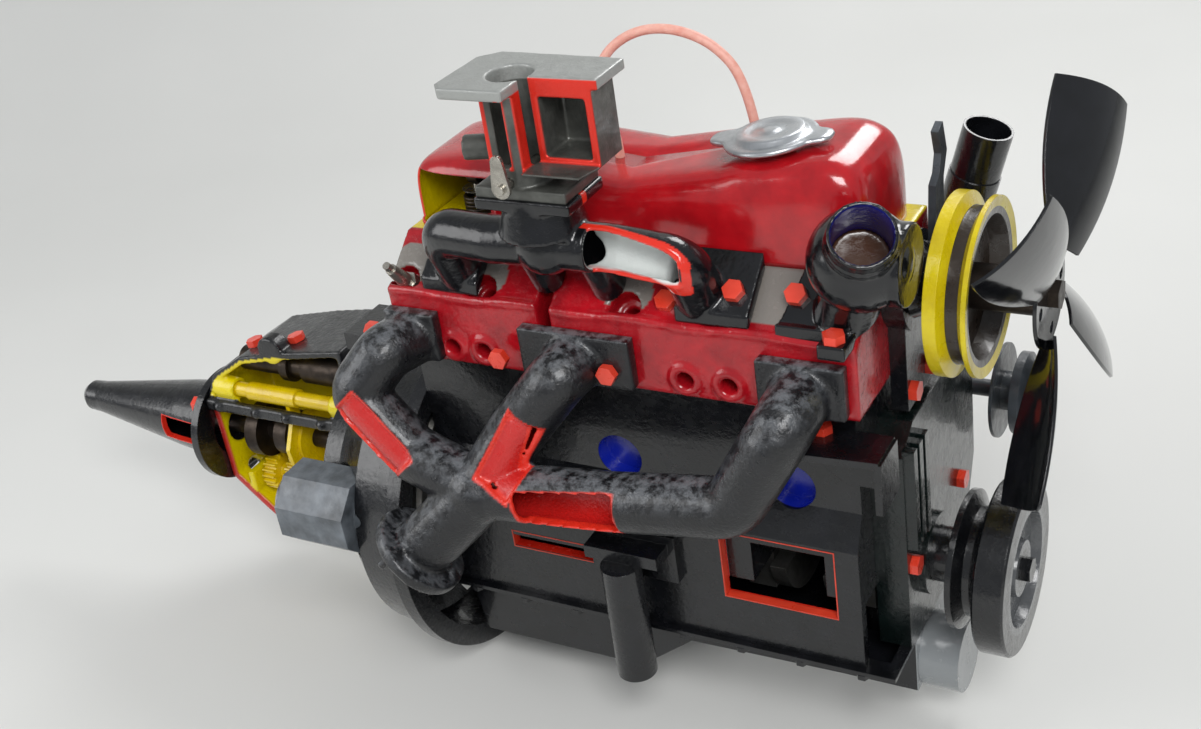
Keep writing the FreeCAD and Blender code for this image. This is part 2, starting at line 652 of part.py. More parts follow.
# Crankshaft: five mains, four throws, the outer pair up and the inner pair down
def crank_web(x, up):
    """A web at a place along the shaft: a drop round the crankpin and a heavy fan opposite."""
    thickness = size("web_thickness")
    throw = size("stroke") / 2
    drop = lobe(size("main_radius") + 2, size("crankpin_radius") + 3, throw).extrude(Vector(thickness, 0, 0))
    heavy = Part.makeCylinder(size("counterweight_radius"), thickness, Vector(), Vector(1, 0, 0), 140)
    heavy.rotate(Vector(), Vector(1, 0, 0), 110)
    disc = Part.makeCylinder(size("counterweight_radius"), thickness, Vector(), Vector(1, 0, 0))
    side = size("counterweight_radius")
    lower = Part.makeBox(thickness, 2 * side, side, Vector(0, -side, -side - 6))
    web = drop.fuse(disc.common(lower))
    if up < 0:
        web.rotate(Vector(), Vector(1, 0, 0), 180)
    web.translate(Vector(x, 0, 0))
    return web


def crankshaft():
    pitch = size("bore_pitch")
    thickness = size("web_thickness")
    throw = size("stroke") / 2
    half = size("block_half")
    web_room = (pitch - size("main_length")) / 2
    shapes = []
    for index in MAINS:
        shapes.append(Part.makeCylinder(size("main_radius"), size("main_length"),
                                        Vector(pitch * index - size("main_length") / 2, 0, 0), Vector(1, 0, 0)))
    for number, place_x in CYLINDERS:
        up = 1 if number in (1, 4) else -1
        centre = pitch * place_x
        shapes.append(crank_web(centre - web_room, up))
        shapes.append(crank_web(centre + web_room - thickness, up))
        shapes.append(Part.makeCylinder(size("crankpin_radius"), 2 * (web_room - thickness),
                                        Vector(centre - web_room + thickness, 0, up * throw), Vector(1, 0, 0)))
    front = 2 * pitch + size("main_length") / 2
    shapes.append(Part.makeCylinder(size("nose_radius"), size("crank_pulley_front") - 6 - front,
                                    Vector(front, 0, 0), Vector(1, 0, 0)))
    shapes.append(Part.makeCylinder(34, 12 - size("seat_gap"), Vector(-half - 12, 0, 0), Vector(1, 0, 0)))
    shapes.append(Part.makeCylinder(size("main_radius"), half - front + 3, Vector(-half, 0, 0), Vector(1, 0, 0)))
    shaft = shapes[0].multiFuse(shapes[1:])
    pilot = Part.makeCylinder(8.05, 16, Vector(-half - 13, 0, 0), Vector(1, 0, 0))
    return piece("crankshaft", made("crankshaft", shaft.cut(pilot).removeSplitter()))


def crank_pulley():
    front = "crank_pulley_front"
    corners = (
        (front, "50"), (f"{front} - 9", "48"), (f"{front} - 11", "26"), (f"{front} - 3", "24"),
        (f"{front} - 3", "nose_radius"), ("block_half + 30", "nose_radius"), ("block_half + 30", "24"),
        ("belt_plane - 14", "24"), ("belt_plane - 14", "groove_radius"), ("belt_plane - 9", "groove_radius"),
        ("belt_plane - 3", "groove_radius - 12"), ("belt_plane + 3", "groove_radius - 12"),
        (f"{front} - damper_width - 2", "groove_radius"), (f"{front} - damper_width", "crank_pulley_radius - 2"),
        (f"{front} - damper_width + 2", "crank_pulley_radius"), (f"{front} - 2", "crank_pulley_radius"),
        (front, "crank_pulley_radius - 2"),
    )
    wheel = turned("pulley_wheel", corners)
    bolt = DOC.addObject("Part::Prism", "pulley_bolt")
    bolt.Polygon = 6
    bolt.setExpression("Circumradius", bound("bolt_head + 2"))
    bolt.Height = 10
    place(bolt, f"{front} - 5", 0, 0, ALONG_X)
    washer = rod("pulley_washer", "nose_radius + 5", "3", f"{front} - 6")
    neck = rod("pulley_bore_plug", "nose_radius", "3", f"{front} - 6")
    seat = cut("pulley_disc", wheel, [rod("washer_seat", "nose_radius + 5", "4", f"{front} - 6")])
    return piece("crank_pulley", group("crank_pulley", [seat, fuse("pulley_bolt_set", [bolt, washer, neck])]))


def timing_gears():
    start = size("block_half") + 4
    pitch_angle = math.atan2(size("cam_offset"), size("cam_height"))
    teeth = int(size("crank_teeth"))
    small = gear(teeth, size("gear_module"), size("gear_width"), size("nose_radius"), pitch_angle)
    small.translate(Vector(start, 0, 0))
    half_tooth = math.pi / (2 * teeth)
    large = gear(2 * teeth, size("gear_module"), size("gear_width"), 12, pitch_angle + math.pi + half_tooth)
    large.translate(Vector(start, size("cam_offset"), size("cam_height")))
    piece("crank_gear", made("crank_gear", small))
    return piece("cam_gear", made("cam_gear", large))


def camshaft():
    """Eight lobes in the firing order 1-3-4-2, each turned a quarter from the next to fire."""
    half = size("block_half")
    centre = Vector(0, size("cam_offset"), size("cam_height"))
    shapes = [Part.makeCylinder(11.5, 2 * half - 4, centre - Vector(half - 4, 0, 0), Vector(1, 0, 0))]
    shapes.append(Part.makeCylinder(12, size("gear_width") + 8, centre + Vector(half, 0, 0), Vector(1, 0, 0)))
    for index in MAINS:
        shapes.append(Part.makeCylinder(size("cam_journal"), size("bulkhead"),
                                        centre + Vector(size("bore_pitch") * index - size("bulkhead") / 2, 0, 0),
                                        Vector(1, 0, 0)))
    order = {1: 0, 3: 90, 4: 180, 2: 270}
    nose = 6
    for number, place_x in CYLINDERS:
        for side, lead in ((1, 125), (-1, 235)):
            bump = lobe(size("cam_base"), nose, size("cam_nose") - nose).extrude(Vector(14, 0, 0))
            bump.rotate(Vector(), Vector(1, 0, 0), lead + order[number])
            bump.translate(centre + Vector(size("bore_pitch") * place_x + side * size("valve_spacing") / 2 - 7, 0, 0))
            shapes.append(bump)
    return piece("camshaft", made("camshaft", shapes[0].multiFuse(shapes[1:]).removeSplitter()))


# Pistons and rods
def piston_set(number, place_x):
    centre = f"bore_pitch * {place_x}"
    up = "" if number in (1, 4) else "-"
    pin_z = f"({up}stroke / 2 + rod_length)"
    radius = "bore / 2 - piston_play"
    groove = "bore / 2 - 4"
    corners = [("-skirt_length", "0"), ("-skirt_length", radius)]
    for drop in (16, 11, 6):
        corners += [(f"crown_height - {drop}", radius), (f"crown_height - {drop}", groove),
                    (f"crown_height - {drop - 2}", groove), (f"crown_height - {drop - 2}", radius)]
    corners += [("crown_height", radius), ("crown_height", "0")]
    turn = FreeCAD.Rotation(Vector(0, 1, 0), -90)
    blank = turned(f"piston_blank_{number}", corners, centre, 0, pin_z, turn)
    tools = [
        rod(f"piston_hollow_{number}", "bore / 2 - 8", "skirt_length + 18", centre, 0, f"{pin_z} - skirt_length - 1", "Z"),
        rod(f"pin_bore_{number}", "piston_pin_radius + running_play", "bore", f"{centre} - bore / 2", 0, pin_z),
    ]
    bosses = []
    for side in (-1, 1):
        tools.append(box(f"skirt_flat_{number}_{side + 1}", "12", "52", "skirt_length + 14",
                         f"{centre} + {side} * (bore / 2) - 6", "-26", f"{pin_z} - skirt_length - 1"))
        start = f"{centre} + {side} * 22 - 7.5"
        lug = rod(f"pin_boss_{number}_{side + 1}", "piston_pin_radius + 5", "15", start, 0, pin_z)
        hole = rod(f"boss_hole_{number}_{side + 1}", "piston_pin_radius + running_play", "17", f"{start} - 1", 0, pin_z)
        bosses.append(cut(f"boss_{number}_{side + 1}", lug, [hole]))
    shell = fuse(f"piston_shell_{number}", [cut(f"piston_cut_{number}", blank, tools)] + bosses)
    pin = rod(f"gudgeon_pin_{number}", "piston_pin_radius", "58", f"{centre} - 29", 0, pin_z)
    rings = []
    for index, drop in enumerate((16, 11, 6)):
        ring = rod(f"ring_blank_{number}_{index}", "bore / 2 - piston_play / 2", "1.8", centre, 0,
                   f"{pin_z} + crown_height - {drop} + 0.1", "Z")
        hole = rod(f"ring_hole_{number}_{index}", "bore / 2 - 3.4", "4", centre, 0,
                   f"{pin_z} + crown_height - {drop} - 1", "Z")
        rings.append(cut(f"ring_{number}_{index}", ring, [hole]))
    piece(f"piston_{number}", group(f"piston_{number}", [shell, pin] + rings))


def connecting_rod(number, place_x):
    """I-section rod with a split big end; the cap is a solid of its own."""
    width = size("rod_width")
    length = size("rod_length")
    big = size("crankpin_radius") + size("rod_wall")
    small = size("piston_pin_radius") + 5
    axis = Vector(1, 0, 0)
    start = Vector(-width / 2, 0, 0)
    shank = lobe(22, 12, length).extrude(Vector(12, 0, 0))
    shank.translate(Vector(-6, 0, 0))
    shank = shank.common(Part.makeBox(12, 30, length, Vector(-6, -15, 0)))
    waist = polygon(((-8, -8, big + 6), (-8, 8, big + 6), (-8, 6, length - small - 4), (-8, -6, length - small - 4)), (5, 0, 0))
    other = waist.copy()
    other.translate(Vector(11, 0, 0))
    shank = shank.cut(waist).cut(other)
    whole = Part.makeCylinder(big, width, start, axis).multiFuse([
        shank,
        Part.makeCylinder(small, width, start + Vector(0, 0, length), axis),
        Part.makeBox(width - 4, 2 * big + 6, 20, Vector(2 - width / 2, -big - 3, -10)),
    ])
    whole = whole.cut(Part.makeCylinder(size("crankpin_radius") + size("running_play"), width + 2,
                                        start - axis, axis))
    whole = whole.cut(Part.makeCylinder(size("piston_pin_radius") + size("running_play"), width + 2,
                                        start + Vector(-1, 0, length), axis))
    below = Part.makeBox(200, 200, 200, Vector(-100, -100, -200))
    halves = Part.makeCompound([whole.cut(below), whole.common(below)])
    up = 1 if number in (1, 4) else -1
    halves.translate(Vector(size("bore_pitch") * place_x, 0, up * size("stroke") / 2))
    piece(f"connecting_rod_{number}", made(f"connecting_rod_{number}", halves))


# Flywheel side
def flywheel():
    rear = "-block_half - 12"
    corners = (
        (rear, "9"), (rear, "flywheel_radius - 3"), (f"{rear} - 4", "flywheel_radius"),
        (f"{rear} - 14", "flywheel_radius"), (f"{rear} - 15", "flywheel_radius - 8"),
        (f"{rear} - flywheel_width", "flywheel_radius - 9"), (f"{rear} - flywheel_width", "60"),
        (f"{rear} - flywheel_width + 6", "56"), (f"{rear} - flywheel_width + 6", "9"),
    )
    wheel = turned("flywheel_disc", corners)
    rear = "-block_half - 12 - flywheel_width"
    corners = (
        (rear, "92"), (rear, "104"), (f"{rear} - 4", "104"), (f"{rear} - 5", "97"),
        (f"{rear} - 30", "88"), (f"{rear} - 32", "44"), (f"{rear} - 26", "26"), (f"{rear} - 23", "26"),
        (f"{rear} - 27", "46"), (f"{rear} - 27", "84"),
    )
    cover = turned("clutch_cover", corners)
    return piece("flywheel", group("flywheel", [wheel, cover]))


def bellhousing():
    front = "bell_front"
    outside = turned("bell_outside", (
        (front, "0"), (front, "bell_radius"), (f"{front} - 14", "bell_radius"), (f"{front} - 16", "bell_radius - 8"),
        (f"{front} - 60", "bell_radius - 14"), (f"{front} - 118", "104"), (f"{front} - bell_length", "100"),
        (f"{front} - bell_length", "0")), z="-bell_drop")
    room = turned("bell_room", (
        (f"{front} + 1", "0"), (f"{front} + 1", "bell_radius - 20"), (f"{front} - 58", "bell_radius - 14 - bell_wall"),
        (f"{front} - 112", "94"), (f"{front} - bell_length + 12", "88"), (f"{front} - bell_length + 12", "0")),
        z="-bell_drop")
    hole = rod("bell_bearing_hole", "31", "40", f"{front} - bell_length - 1")
    fork_slot = box("fork_window", "52", "30", "76", f"{front} - 112", "-15", "-190")
    tools = [room, hole, fork_slot]
    tools.append(rod("starter_room", "42.5", "81", "bell_rear - 1", "starter_y", "starter_z"))
    tools.append(rod("starter_nose_room", "23", "120", "bell_rear - 1", "starter_y", "starter_z"))
    shell = cut("bell_shell", outside, tools)
    sleeve = cut("release_sleeve", rod("sleeve_bar", "18 - running_play", "bell_length - 58", "bell_rear - 1"),
                 [rod("sleeve_bore", "12.5", "bell_length", "bell_rear - 2")])
    collar = cut("sleeve_collar", rod("collar_disc", "36", "6", "bell_rear + 12"),
                 [rod("collar_bore", "12.5", "20", "bell_rear + 8")])
    lug = box("bell_top_lug", "64", "60", "18", "bell_rear + 10", "-26", "142 - bell_drop")
    foot = box("bell_lug_foot", "50", "40", "60", "bell_front - 52", "-20", "92 - bell_drop")
    foot_cut = cut("bell_lug_root", foot, [rod("bell_lug_round", "bell_radius - 22", "60", "bell_front - 56", 0, "-bell_drop")])
    return piece("bellhousing", fuse("bellhousing", [shell, foot_cut, lug, sleeve, collar,
                                                     rod("fork_pivot", "6", "42.6", "bell_rear + 8", 0, -88),
                                                     rod("fork_pivot_pin", "2.2", "30", "bell_rear + 50.5", -15, -88, "Y")]))


def starter_motor():
    """Starter with an eight-sided nose casting beside the bellhousing."""
    x0 = size("bell_rear")
    y = size("starter_y")
    z = size("starter_z")
    sides = 8
    nose = Part.Face(Part.makePolygon([
        Vector(x0, y + 41 * math.cos(math.pi * (2 * k + 1) / sides), z + 41 * math.sin(math.pi * (2 * k + 1) / sides))
        for k in range(sides + 1)])).extrude(Vector(78, 0, 0))
    barrel = Part.makeCylinder(22, 23, Vector(x0 + 78, y, z), Vector(1, 0, 0))
    cap = Part.makeCone(28, 38, 10, Vector(x0 - 10, y, z), Vector(1, 0, 0))
    return piece("starter_motor", made("starter_motor", nose.multiFuse([barrel, cap])))


# Gearbox
def gearbox_case():
    corners = (
        ("bell_rear", "-box_bottom - 6"), ("bell_rear", "box_top + 14"), ("bell_rear - 74", "box_top + 2"),
        ("box_rear + 58", "box_top - 12"), ("box_rear + 14", "76"), ("box_rear", "52"), ("box_rear", "-54"),
        ("box_rear + 44", "-box_bottom"), ("box_rear + 70", "-box_bottom - 8"), ("box_rear + 90", "-box_bottom + 8"),
    )
    casting = plate("box_casting", "XZ", corners, "box_near + box_far", y="box_far")
    room = (
        ("bell_rear - box_wall", "-box_bottom"), ("bell_rear - box_wall", "box_top + 6"),
        ("bell_rear - 74", "box_top - 6"), ("box_rear + 60", "box_top - 20"), ("box_rear + 19", "70"),
        ("box_rear + box_wall", "48"), ("box_rear + box_wall", "-50"), ("box_rear + 48", "8 - box_bottom"),
    )
    hollow = plate("box_room", "XZ", room, "box_near + box_far - box_wall + 2", y="box_far - box_wall")
    tools = [
        hollow,
        rod("box_bore", "shaft_radius + 6", "box_length + 2", "box_rear - 1"),
        rod("lay_bore", "9 + running_play", "box_length - 2", "box_rear + 3", 0, "-lay_drop"),
        rod("control_bore", "13 + running_play", "box_length", "box_rear + 20", 2, 86),
    ]
    rail = box("split_rail", "box_length - 4", "9", "13", "box_rear + 2", "-box_near - 9", "37")
    lug = cut("lay_lug", box("lay_lug_block", "8", "box_near + box_far - box_wall", "24", "box_rear + 22", "-box_near",
                             "-lay_drop - 14"), [rod("lay_lug_bore", "9 + running_play", "20", "box_rear + 16", 0, "-lay_drop")])
    bosses = []
    for end, x, bore_x, length in (("rear", "box_rear + 13", "box_rear + 20", "29"),
                                   ("front", "bell_rear - 30", "bell_rear - 34", "27")):
        boss = rod(f"rail_boss_{end}", "12", length, x, "-rail_side", "rail_height")
        hole = rod(f"rail_hole_{end}", "8 + running_play", "27", bore_x, "-rail_side", "rail_height")
        bosses.append(cut(f"rail_socket_{end}", boss, [hole]))
    return piece("gearbox_case", fuse("gearbox_case", [cut("box_shell", casting, tools), rail, lug] + bosses))


def extension_housing():
    start = "box_rear"
    outside = turned("tail_outside", (
        (start, "0"), (start, "62"), (f"{start} - 9", "62"), (f"{start} - 9", "43"), (f"{start} - 60", "38"),
        ("tail_end + 22", "tail_radius + 1"), ("tail_end + 6", "tail_radius"), ("tail_end", "tail_radius - 4"),
        ("tail_end", "0")))
    room = turned("tail_room", (
        (f"{start} + 1", "0"), (f"{start} + 1", "36"), (f"{start} - 60", "31"), ("tail_end + 60", "tail_bore + 6"),
        ("tail_end + 60", "0")))
    bush = rod("tail_bush_bore", "tail_bore + running_play", "90", "tail_end - 1")
    mouth = rod("tail_mouth", "tail_bore + 1", "31", "tail_end - 1")
    window = box("tail_window", "66", "40", "26", f"{start} - 76", "-60", "-11")
    return piece("extension_housing", cut("extension_housing", outside, [room, bush, mouth, window]))


def gearbox_shafts():
    """Input shaft with clutch disc, layshaft below, output shaft with its gears."""
    axis = Vector(1, 0, 0)
    module = size("box_module")
    rear = size("box_rear")
    bell_rear = size("bell_rear")
    front = -size("block_half") - 12
    lay = Vector(0, 0, -size("lay_drop"))
    width = 16
    gap = size("running_play")
    input_teeth = 20
    lay_teeth = int(round(size("lay_drop") * 2 / module)) - input_teeth
    nose = front - size("flywheel_width")
    stem = Part.makeCylinder(11, nose - bell_rear + 30, Vector(bell_rear - 30, 0, 0), axis)
    pilot = Part.makeCylinder(8, 30, Vector(nose - 1, 0, 0), axis)
    drive = gear(input_teeth, module, width, 4)
    drive.translate(Vector(bell_rear - 30, 0, 0))
    disc = Part.makeCylinder(80, 7, Vector(nose - 8, 0, 0), axis)
    hub = Part.makeCylinder(22, 14, Vector(nose - 15, 0, 0), axis)
    shaft = stem.multiFuse([pilot, drive])
    bore = Part.makeCylinder(11, 60, Vector(nose - 40, 0, 0), axis)
    piece("input_shaft", made("input_shaft", Part.makeCompound([shaft.removeSplitter(), disc.fuse(hub).cut(bore)])))

    spindle = Part.makeCylinder(9, size("box_length") - 26, Vector(rear + 22, 0, 0) + lay, axis)
    lay_shapes = [spindle]
    main_shapes = [Part.makeCylinder(size("shaft_radius") - 3, bell_rear - 31 - gap - rear + size("tail_length") - 34,
                                     Vector(rear - size("tail_length") + 34, 0, 0), axis)]
    lay_gear = gear(lay_teeth, module, width, 4, math.pi / lay_teeth)
    lay_gear.translate(Vector(bell_rear - 30, 0, 0) + lay)
    lay_shapes.append(lay_gear)
    for step, teeth in enumerate((lay_teeth - 14, lay_teeth - 8)):
        x = rear + 36 + step * 34
        mate = int(round(size("lay_drop") * 2 / module)) - teeth
        lay_copy = gear(teeth, module, width, 4, math.pi / teeth)
        lay_copy.translate(Vector(x, 0, 0) + lay)
        lay_shapes.append(lay_copy)
        main_copy = Part.makeCylinder(module * (mate / 2 - 1.9), width, Vector(x, 0, 0), axis)
        main_shapes.append(main_copy)
    layshaft = lay_shapes[0].multiFuse(lay_shapes[1:])
    piece("layshaft", made("layshaft", layshaft))
    mainshaft = main_shapes[0].multiFuse(main_shapes[1:])
    return piece("output_shaft", made("output_shaft", mainshaft))


def selector():
    """Yellow selector rail and fork, and the dark control shaft above them."""
    axis = Vector(1, 0, 0)
    rear = size("box_rear")
    bell_rear = size("bell_rear")
    y = -size("rail_side")
    z = size("rail_height")
    cut_plane = 1 - size("box_near")
    rail = Part.makeCylinder(8, bell_rear - rear - 45, Vector(rear + 30, y, z), axis)
    sleeve = Part.makeCylinder(10, 62, Vector(rear + 58, y, z), axis)
    fork_x = rear + 103.5
    leg = polygon(((fork_x, cut_plane, z), (fork_x, y + 9, z), (fork_x, -14, 20), (fork_x, -30, -15), (fork_x, -41, -12),
                   (fork_x, -43, 8), (fork_x, cut_plane, 35)), (5, 0, 0))
    fork = rail.multiFuse([sleeve, leg])
    fork = fork.cut(Part.makeCylinder(30.3, 20, Vector(rear + 90, 0, 0), axis))
    collar = Part.makeCylinder(30, 12, Vector(rear + 100, 0, 0), axis).cut(
        Part.makeCylinder(size("shaft_radius") - 3 + size("running_play"), 20, Vector(rear + 96, 0, 0), axis))
    piece("selector_fork", made("selector_fork", Part.makeCompound([fork.removeSplitter(), collar])))
    high = Vector(0, 2, 86)
    bar = Part.makeCylinder(13, bell_rear - rear - 42, Vector(rear + 40, 0, 0) + high, axis)
    collar = Part.makeCylinder(18, 10, Vector(rear + 96, 0, 0) + high, axis)
    barrel = Part.makeCylinder(17, 56, Vector(bell_rear - 72, 0, 0) + high, axis)
    return piece("control_shaft", made("control_shaft", bar.multiFuse([collar, barrel])))


def clutch_release():
    """Release bearing on its sleeve, and the fork that reaches out through the bellhousing's side."""
    axis = Vector(1, 0, 0)
    nose = -size("block_half") - 12 - size("flywheel_width") - 32
    bearing = Part.makeCylinder(34, 12, Vector(nose - 14, 0, 0), axis).cut(
        Part.makeCylinder(18, 20, Vector(nose - 16, 0, 0), axis))
    piece("release_bearing", made("release_bearing", bearing))
    x = nose - 21.1
    arm = Part.makeBox(7, 14, 126, Vector(x, -7, -164))
    head = Part.makeCylinder(40, 7, Vector(x, 0, 0), axis).cut(Part.makeCylinder(21, 9, Vector(x - 1, 0, 0), axis))
    head = head.common(Part.makeBox(9, 90, 60, Vector(x - 1, -45, -56)))
    return piece("clutch_fork", made("clutch_fork", arm.fuse(head)))


# Front end
def timing_cover():
    start = "block_half"
    corners = (
        ("-58", "-pan_rail"), ("-58", "132"), ("-30", "150"), ("96", "150"), ("cam_offset + 68", "112"),
        ("cam_offset + 68", "20"), ("92", "-pan_rail"),
    )
    outside = plate("timing_outside", "YZ", corners, "28", x=start)
    room = (
        ("-46", "-pan_rail + 8"), ("-46", "126"), ("-24", "140"), ("90", "140"), ("cam_offset + 65", "108"),
        ("cam_offset + 65", "24"), ("84", "-pan_rail + 8"),
    )
    hollow = plate("timing_room", "YZ", room, "24", x=f"{start} - 1")
    ribs = [box(f"timing_rib_{k}", "10", "8", "96", f"{start} + 27", f"-56 + {14 * k}", "42") for k in range(3)]
    hole = rod("timing_seal_hole", "24 + seat_gap", "60", f"{start} + 10")
    boss = rod("timing_seal_boss", "36", "9", f"{start} + 26")
    whole = fuse("timing_whole", [outside, boss] + ribs)
    return piece("timing_cover", cut("timing_cover", whole, [hollow, hole]))


def water_pump_body():
    start = size("block_half") + 10
    z = size("pump_height")
    axis = Vector(1, 0, 0)
    volute = Part.makeCylinder(40, 18, Vector(start, 0, z), axis)
    neck = Part.makeCone(30, 17, 24, Vector(start + 18, 0, z), axis)
    foot = Part.makeBox(14, 60, z - 10 - size("pump_foot"), Vector(start, -26, size("pump_foot")))
    arm = Part.makeBox(34, 104, 30, Vector(start, 12, z - 32))
    arm = arm.cut(Part.makeCylinder(36, 40, Vector(start + 18, 0, z), axis))
    body = volute.multiFuse([neck, foot, arm])
    room = Part.makeCylinder(36, 14, Vector(start + 2, 0, z), axis)
    bore = Part.makeCylinder(8 + size("running_play"), 60, Vector(start - 2, 0, z), axis)
    return piece("water_pump_body", made("water_pump_body", body.cut(room).cut(bore)))


def coolant_inlet_tube():
    """Black tube that leans forward and stands open above the pump."""
    radius = size("inlet_tube_radius")
    start = Vector(size("block_half") + 24, 93, size("pump_height") - 22)
    lean = Vector(0.3, 0, 1)
    seat = size("inlet_seat")
    outside = Part.makeCylinder(radius, 116 - seat, start, lean).fuse(Part.makeCylinder(radius - 1, 116, start, lean))
    tube_bore = Part.makeCylinder(radius - 3, 122, start - lean * 2, lean)
    below = Part.makeBox(120, 120, 80, start + Vector(-60, -60, 20 - 80))
    return piece("coolant_inlet_tube", made("coolant_inlet_tube", outside.cut(tube_bore).cut(below)))


def pump_shaft():
    start = size("block_half") + 13
    z = size("pump_height")
    axis = Vector(1, 0, 0)
    spindle = Part.makeCylinder(8, size("fan_place") - 10 - start, Vector(start, 0, z), axis)
    wheel = Part.makeCylinder(32, 3, Vector(start, 0, z), axis)
    vanes = []
    for k in range(6):
        vane = Part.makeBox(10, 3, 21, Vector(start, -1.5, 10))
        vane.rotate(Vector(), axis, 60 * k)
        vane.translate(Vector(0, 0, z))
        vanes.append(vane)
    return spindle.multiFuse([wheel] + vanes)


def water_pump_pulley():
    belt = "belt_plane"
    corners = (
        (f"{belt} - 18", "8"), (f"{belt} - 18", "20"), (f"{belt} - 10", "22"), (f"{belt} - 10", "pump_pulley_radius - 16"),
        (f"{belt} - 18", "pump_pulley_radius - 12"), (f"{belt} - 19", "pump_pulley_radius"),
        (f"{belt} - 9", "pump_pulley_radius"), (f"{belt} - 5", "pump_pulley_radius - 11"),
        (f"{belt} + 4", "pump_pulley_radius - 11"), (f"{belt} + 9", "pump_pulley_radius - 2"),
        (f"{belt} + 13", "pump_pulley_radius - 2"), (f"{belt} + 11", "pump_pulley_radius - 16"),
        (f"{belt} - 4", "pump_pulley_radius - 20"), (f"{belt} - 4", "8"),
    )
    return piece("water_pump_pulley", turned("water_pump_pulley", corners, z="pump_height"))


def fan():
    """Four cambered blades that twist from root to tip, on a pressed cross with two through holes."""
    axis = Vector(1, 0, 0)
    pitch = size("fan_pitch")
    middle = size("fan_place")
    thickness = size("blade_thickness")

    def section(radius, chord, camber, angle):
        """An arched strip across the blade at a radius."""
        turn = math.radians(angle)
        along = Vector(math.sin(turn), math.cos(turn), 0)
        normal = Vector(math.cos(turn), -math.sin(turn), 0)
        centre = Vector(0, 0, radius)
        left = centre - along * (chord / 2)
        right = centre + along * (chord / 2)
        top = centre + normal * camber
        shift = normal * thickness
        edges = [
            Part.Arc(left, top, right).toShape(),
            Part.LineSegment(right, right + shift).toShape(),
            Part.Arc(right + shift, top + shift, left + shift).toShape(),
            Part.LineSegment(left + shift, left).toShape(),
        ]
        return Part.Wire(edges)

    def blade(phase):
        wires = [section(34, 34, 2, pitch - 8), section(80, 66, 8, pitch), section(size("fan_radius") + 8, 74, 7, pitch)]
        shape = Part.makeLoft(wires, True, False)
        tip = Part.makeCylinder(size("fan_radius"), 200, Vector(-100, 0, 0), axis)
        shape = shape.common(tip)
        shape.rotate(Vector(), axis, -phase)
        return shape

    hub = Part.makeCylinder(42, 3, Vector(-6, 0, 0), axis)
    boss = Part.makeCylinder(20, 3, Vector(-9, 0, 0), axis)
    shape = hub.multiFuse([boss] + [blade(size("fan_phase") + 90 * k) for k in range(4)])
    for k in range(4):
        turn = math.radians(size("fan_phase") + 45 + 90 * k)
        at = Vector(-20, 30 * math.sin(turn), 30 * math.cos(turn))
        shape = shape.cut(Part.makeCylinder(5, 60, at, axis))
    shape = shape.cut(Part.makeCylinder(8, 60, Vector(-20, 0, 0), axis))
    shape.translate(Vector(middle, 0, size("pump_height")))
    piece("fan", made("fan", shape))
    spacer_start = size("belt_plane") - 4
    spacer = Part.makeCylinder(18, middle - 9 - spacer_start, Vector(spacer_start, 0, size("pump_height")), axis).cut(
        Part.makeCylinder(8, 200, Vector(spacer_start - 10, 0, size("pump_height")), axis))

    nut = hexagon(12, 8, (middle - 3, 0, size("pump_height")), (1, 0, 0))
    nut = nut.cut(Part.makeCylinder(8, 6, Vector(middle - 16, 0, size("pump_height")), axis))
    return piece("pump_shaft", made("pump_shaft", Part.makeCompound([pump_shaft(), spacer, nut])))


def thermostat_housing():
    """Round bulb on a bolted foot with a spigot that points up and outwards."""
    centre = Vector(220, -88, size("head_top") + 35)
    heading = Vector(0.3, -0.62, 0.72).normalize()
    bulb = Part.makeSphere(size("thermostat_radius"), centre, heading)
    spigot = Part.makeCylinder(size("outlet_radius"), size("thermostat_radius") + 11, centre, heading)
    collar = Part.makeCylinder(size("outlet_radius") + 1.5, size("thermostat_radius") - 2, centre, heading)
    throat = Part.makeCylinder(size("outlet_bore"), 80, centre - heading * 12, heading)
    joint = Part.makeCylinder(31, 12, centre + Vector(24, 6, -4), Vector(1, 0, 0))
    leg = Part.makeCylinder(24, 66, centre - heading * 6, Vector(-0.35, 0.25, -1))
    foot = polygon(((150, -94, 0), (192, -94, 0), (192, -116, 0), (214, -116, 0), (214, -50, 0), (164, -50, 0)), (0, 0, 66))
    foot.translate(Vector(0, 0, size("ledge_edge")))
    lift = polygon(((100, -140, size("ledge_edge") + 12), (100, -88, size("ledge_edge") + 12),
                    (100, -size("ledge_inner"), size("head_top") + 10), (100, 0, size("head_top") + 10),
                    (100, 0, 500), (100, -140, 500)), (200, 0, 0))
    body = bulb.multiFuse([spigot, collar, joint, leg, foot.cut(lift)])
    body = body.cut(throat)
    slope = polygon(((100, -200, size("ledge_edge") - 60), (100, -size("near_side"), size("ledge_edge")),
                     (100, -size("ledge_inner"), size("head_top")), (100, 0, size("head_top")),
                     (100, 0, size("ledge_edge") - 60)), (200, 0, 0))
    body = body.cut(slope)
    valve_plate = Part.makeCylinder(size("outlet_bore") - 0.5, 3, centre - heading * 2, heading)
    return piece("thermostat_housing", made("thermostat_housing", Part.makeCompound([body, valve_plate])))


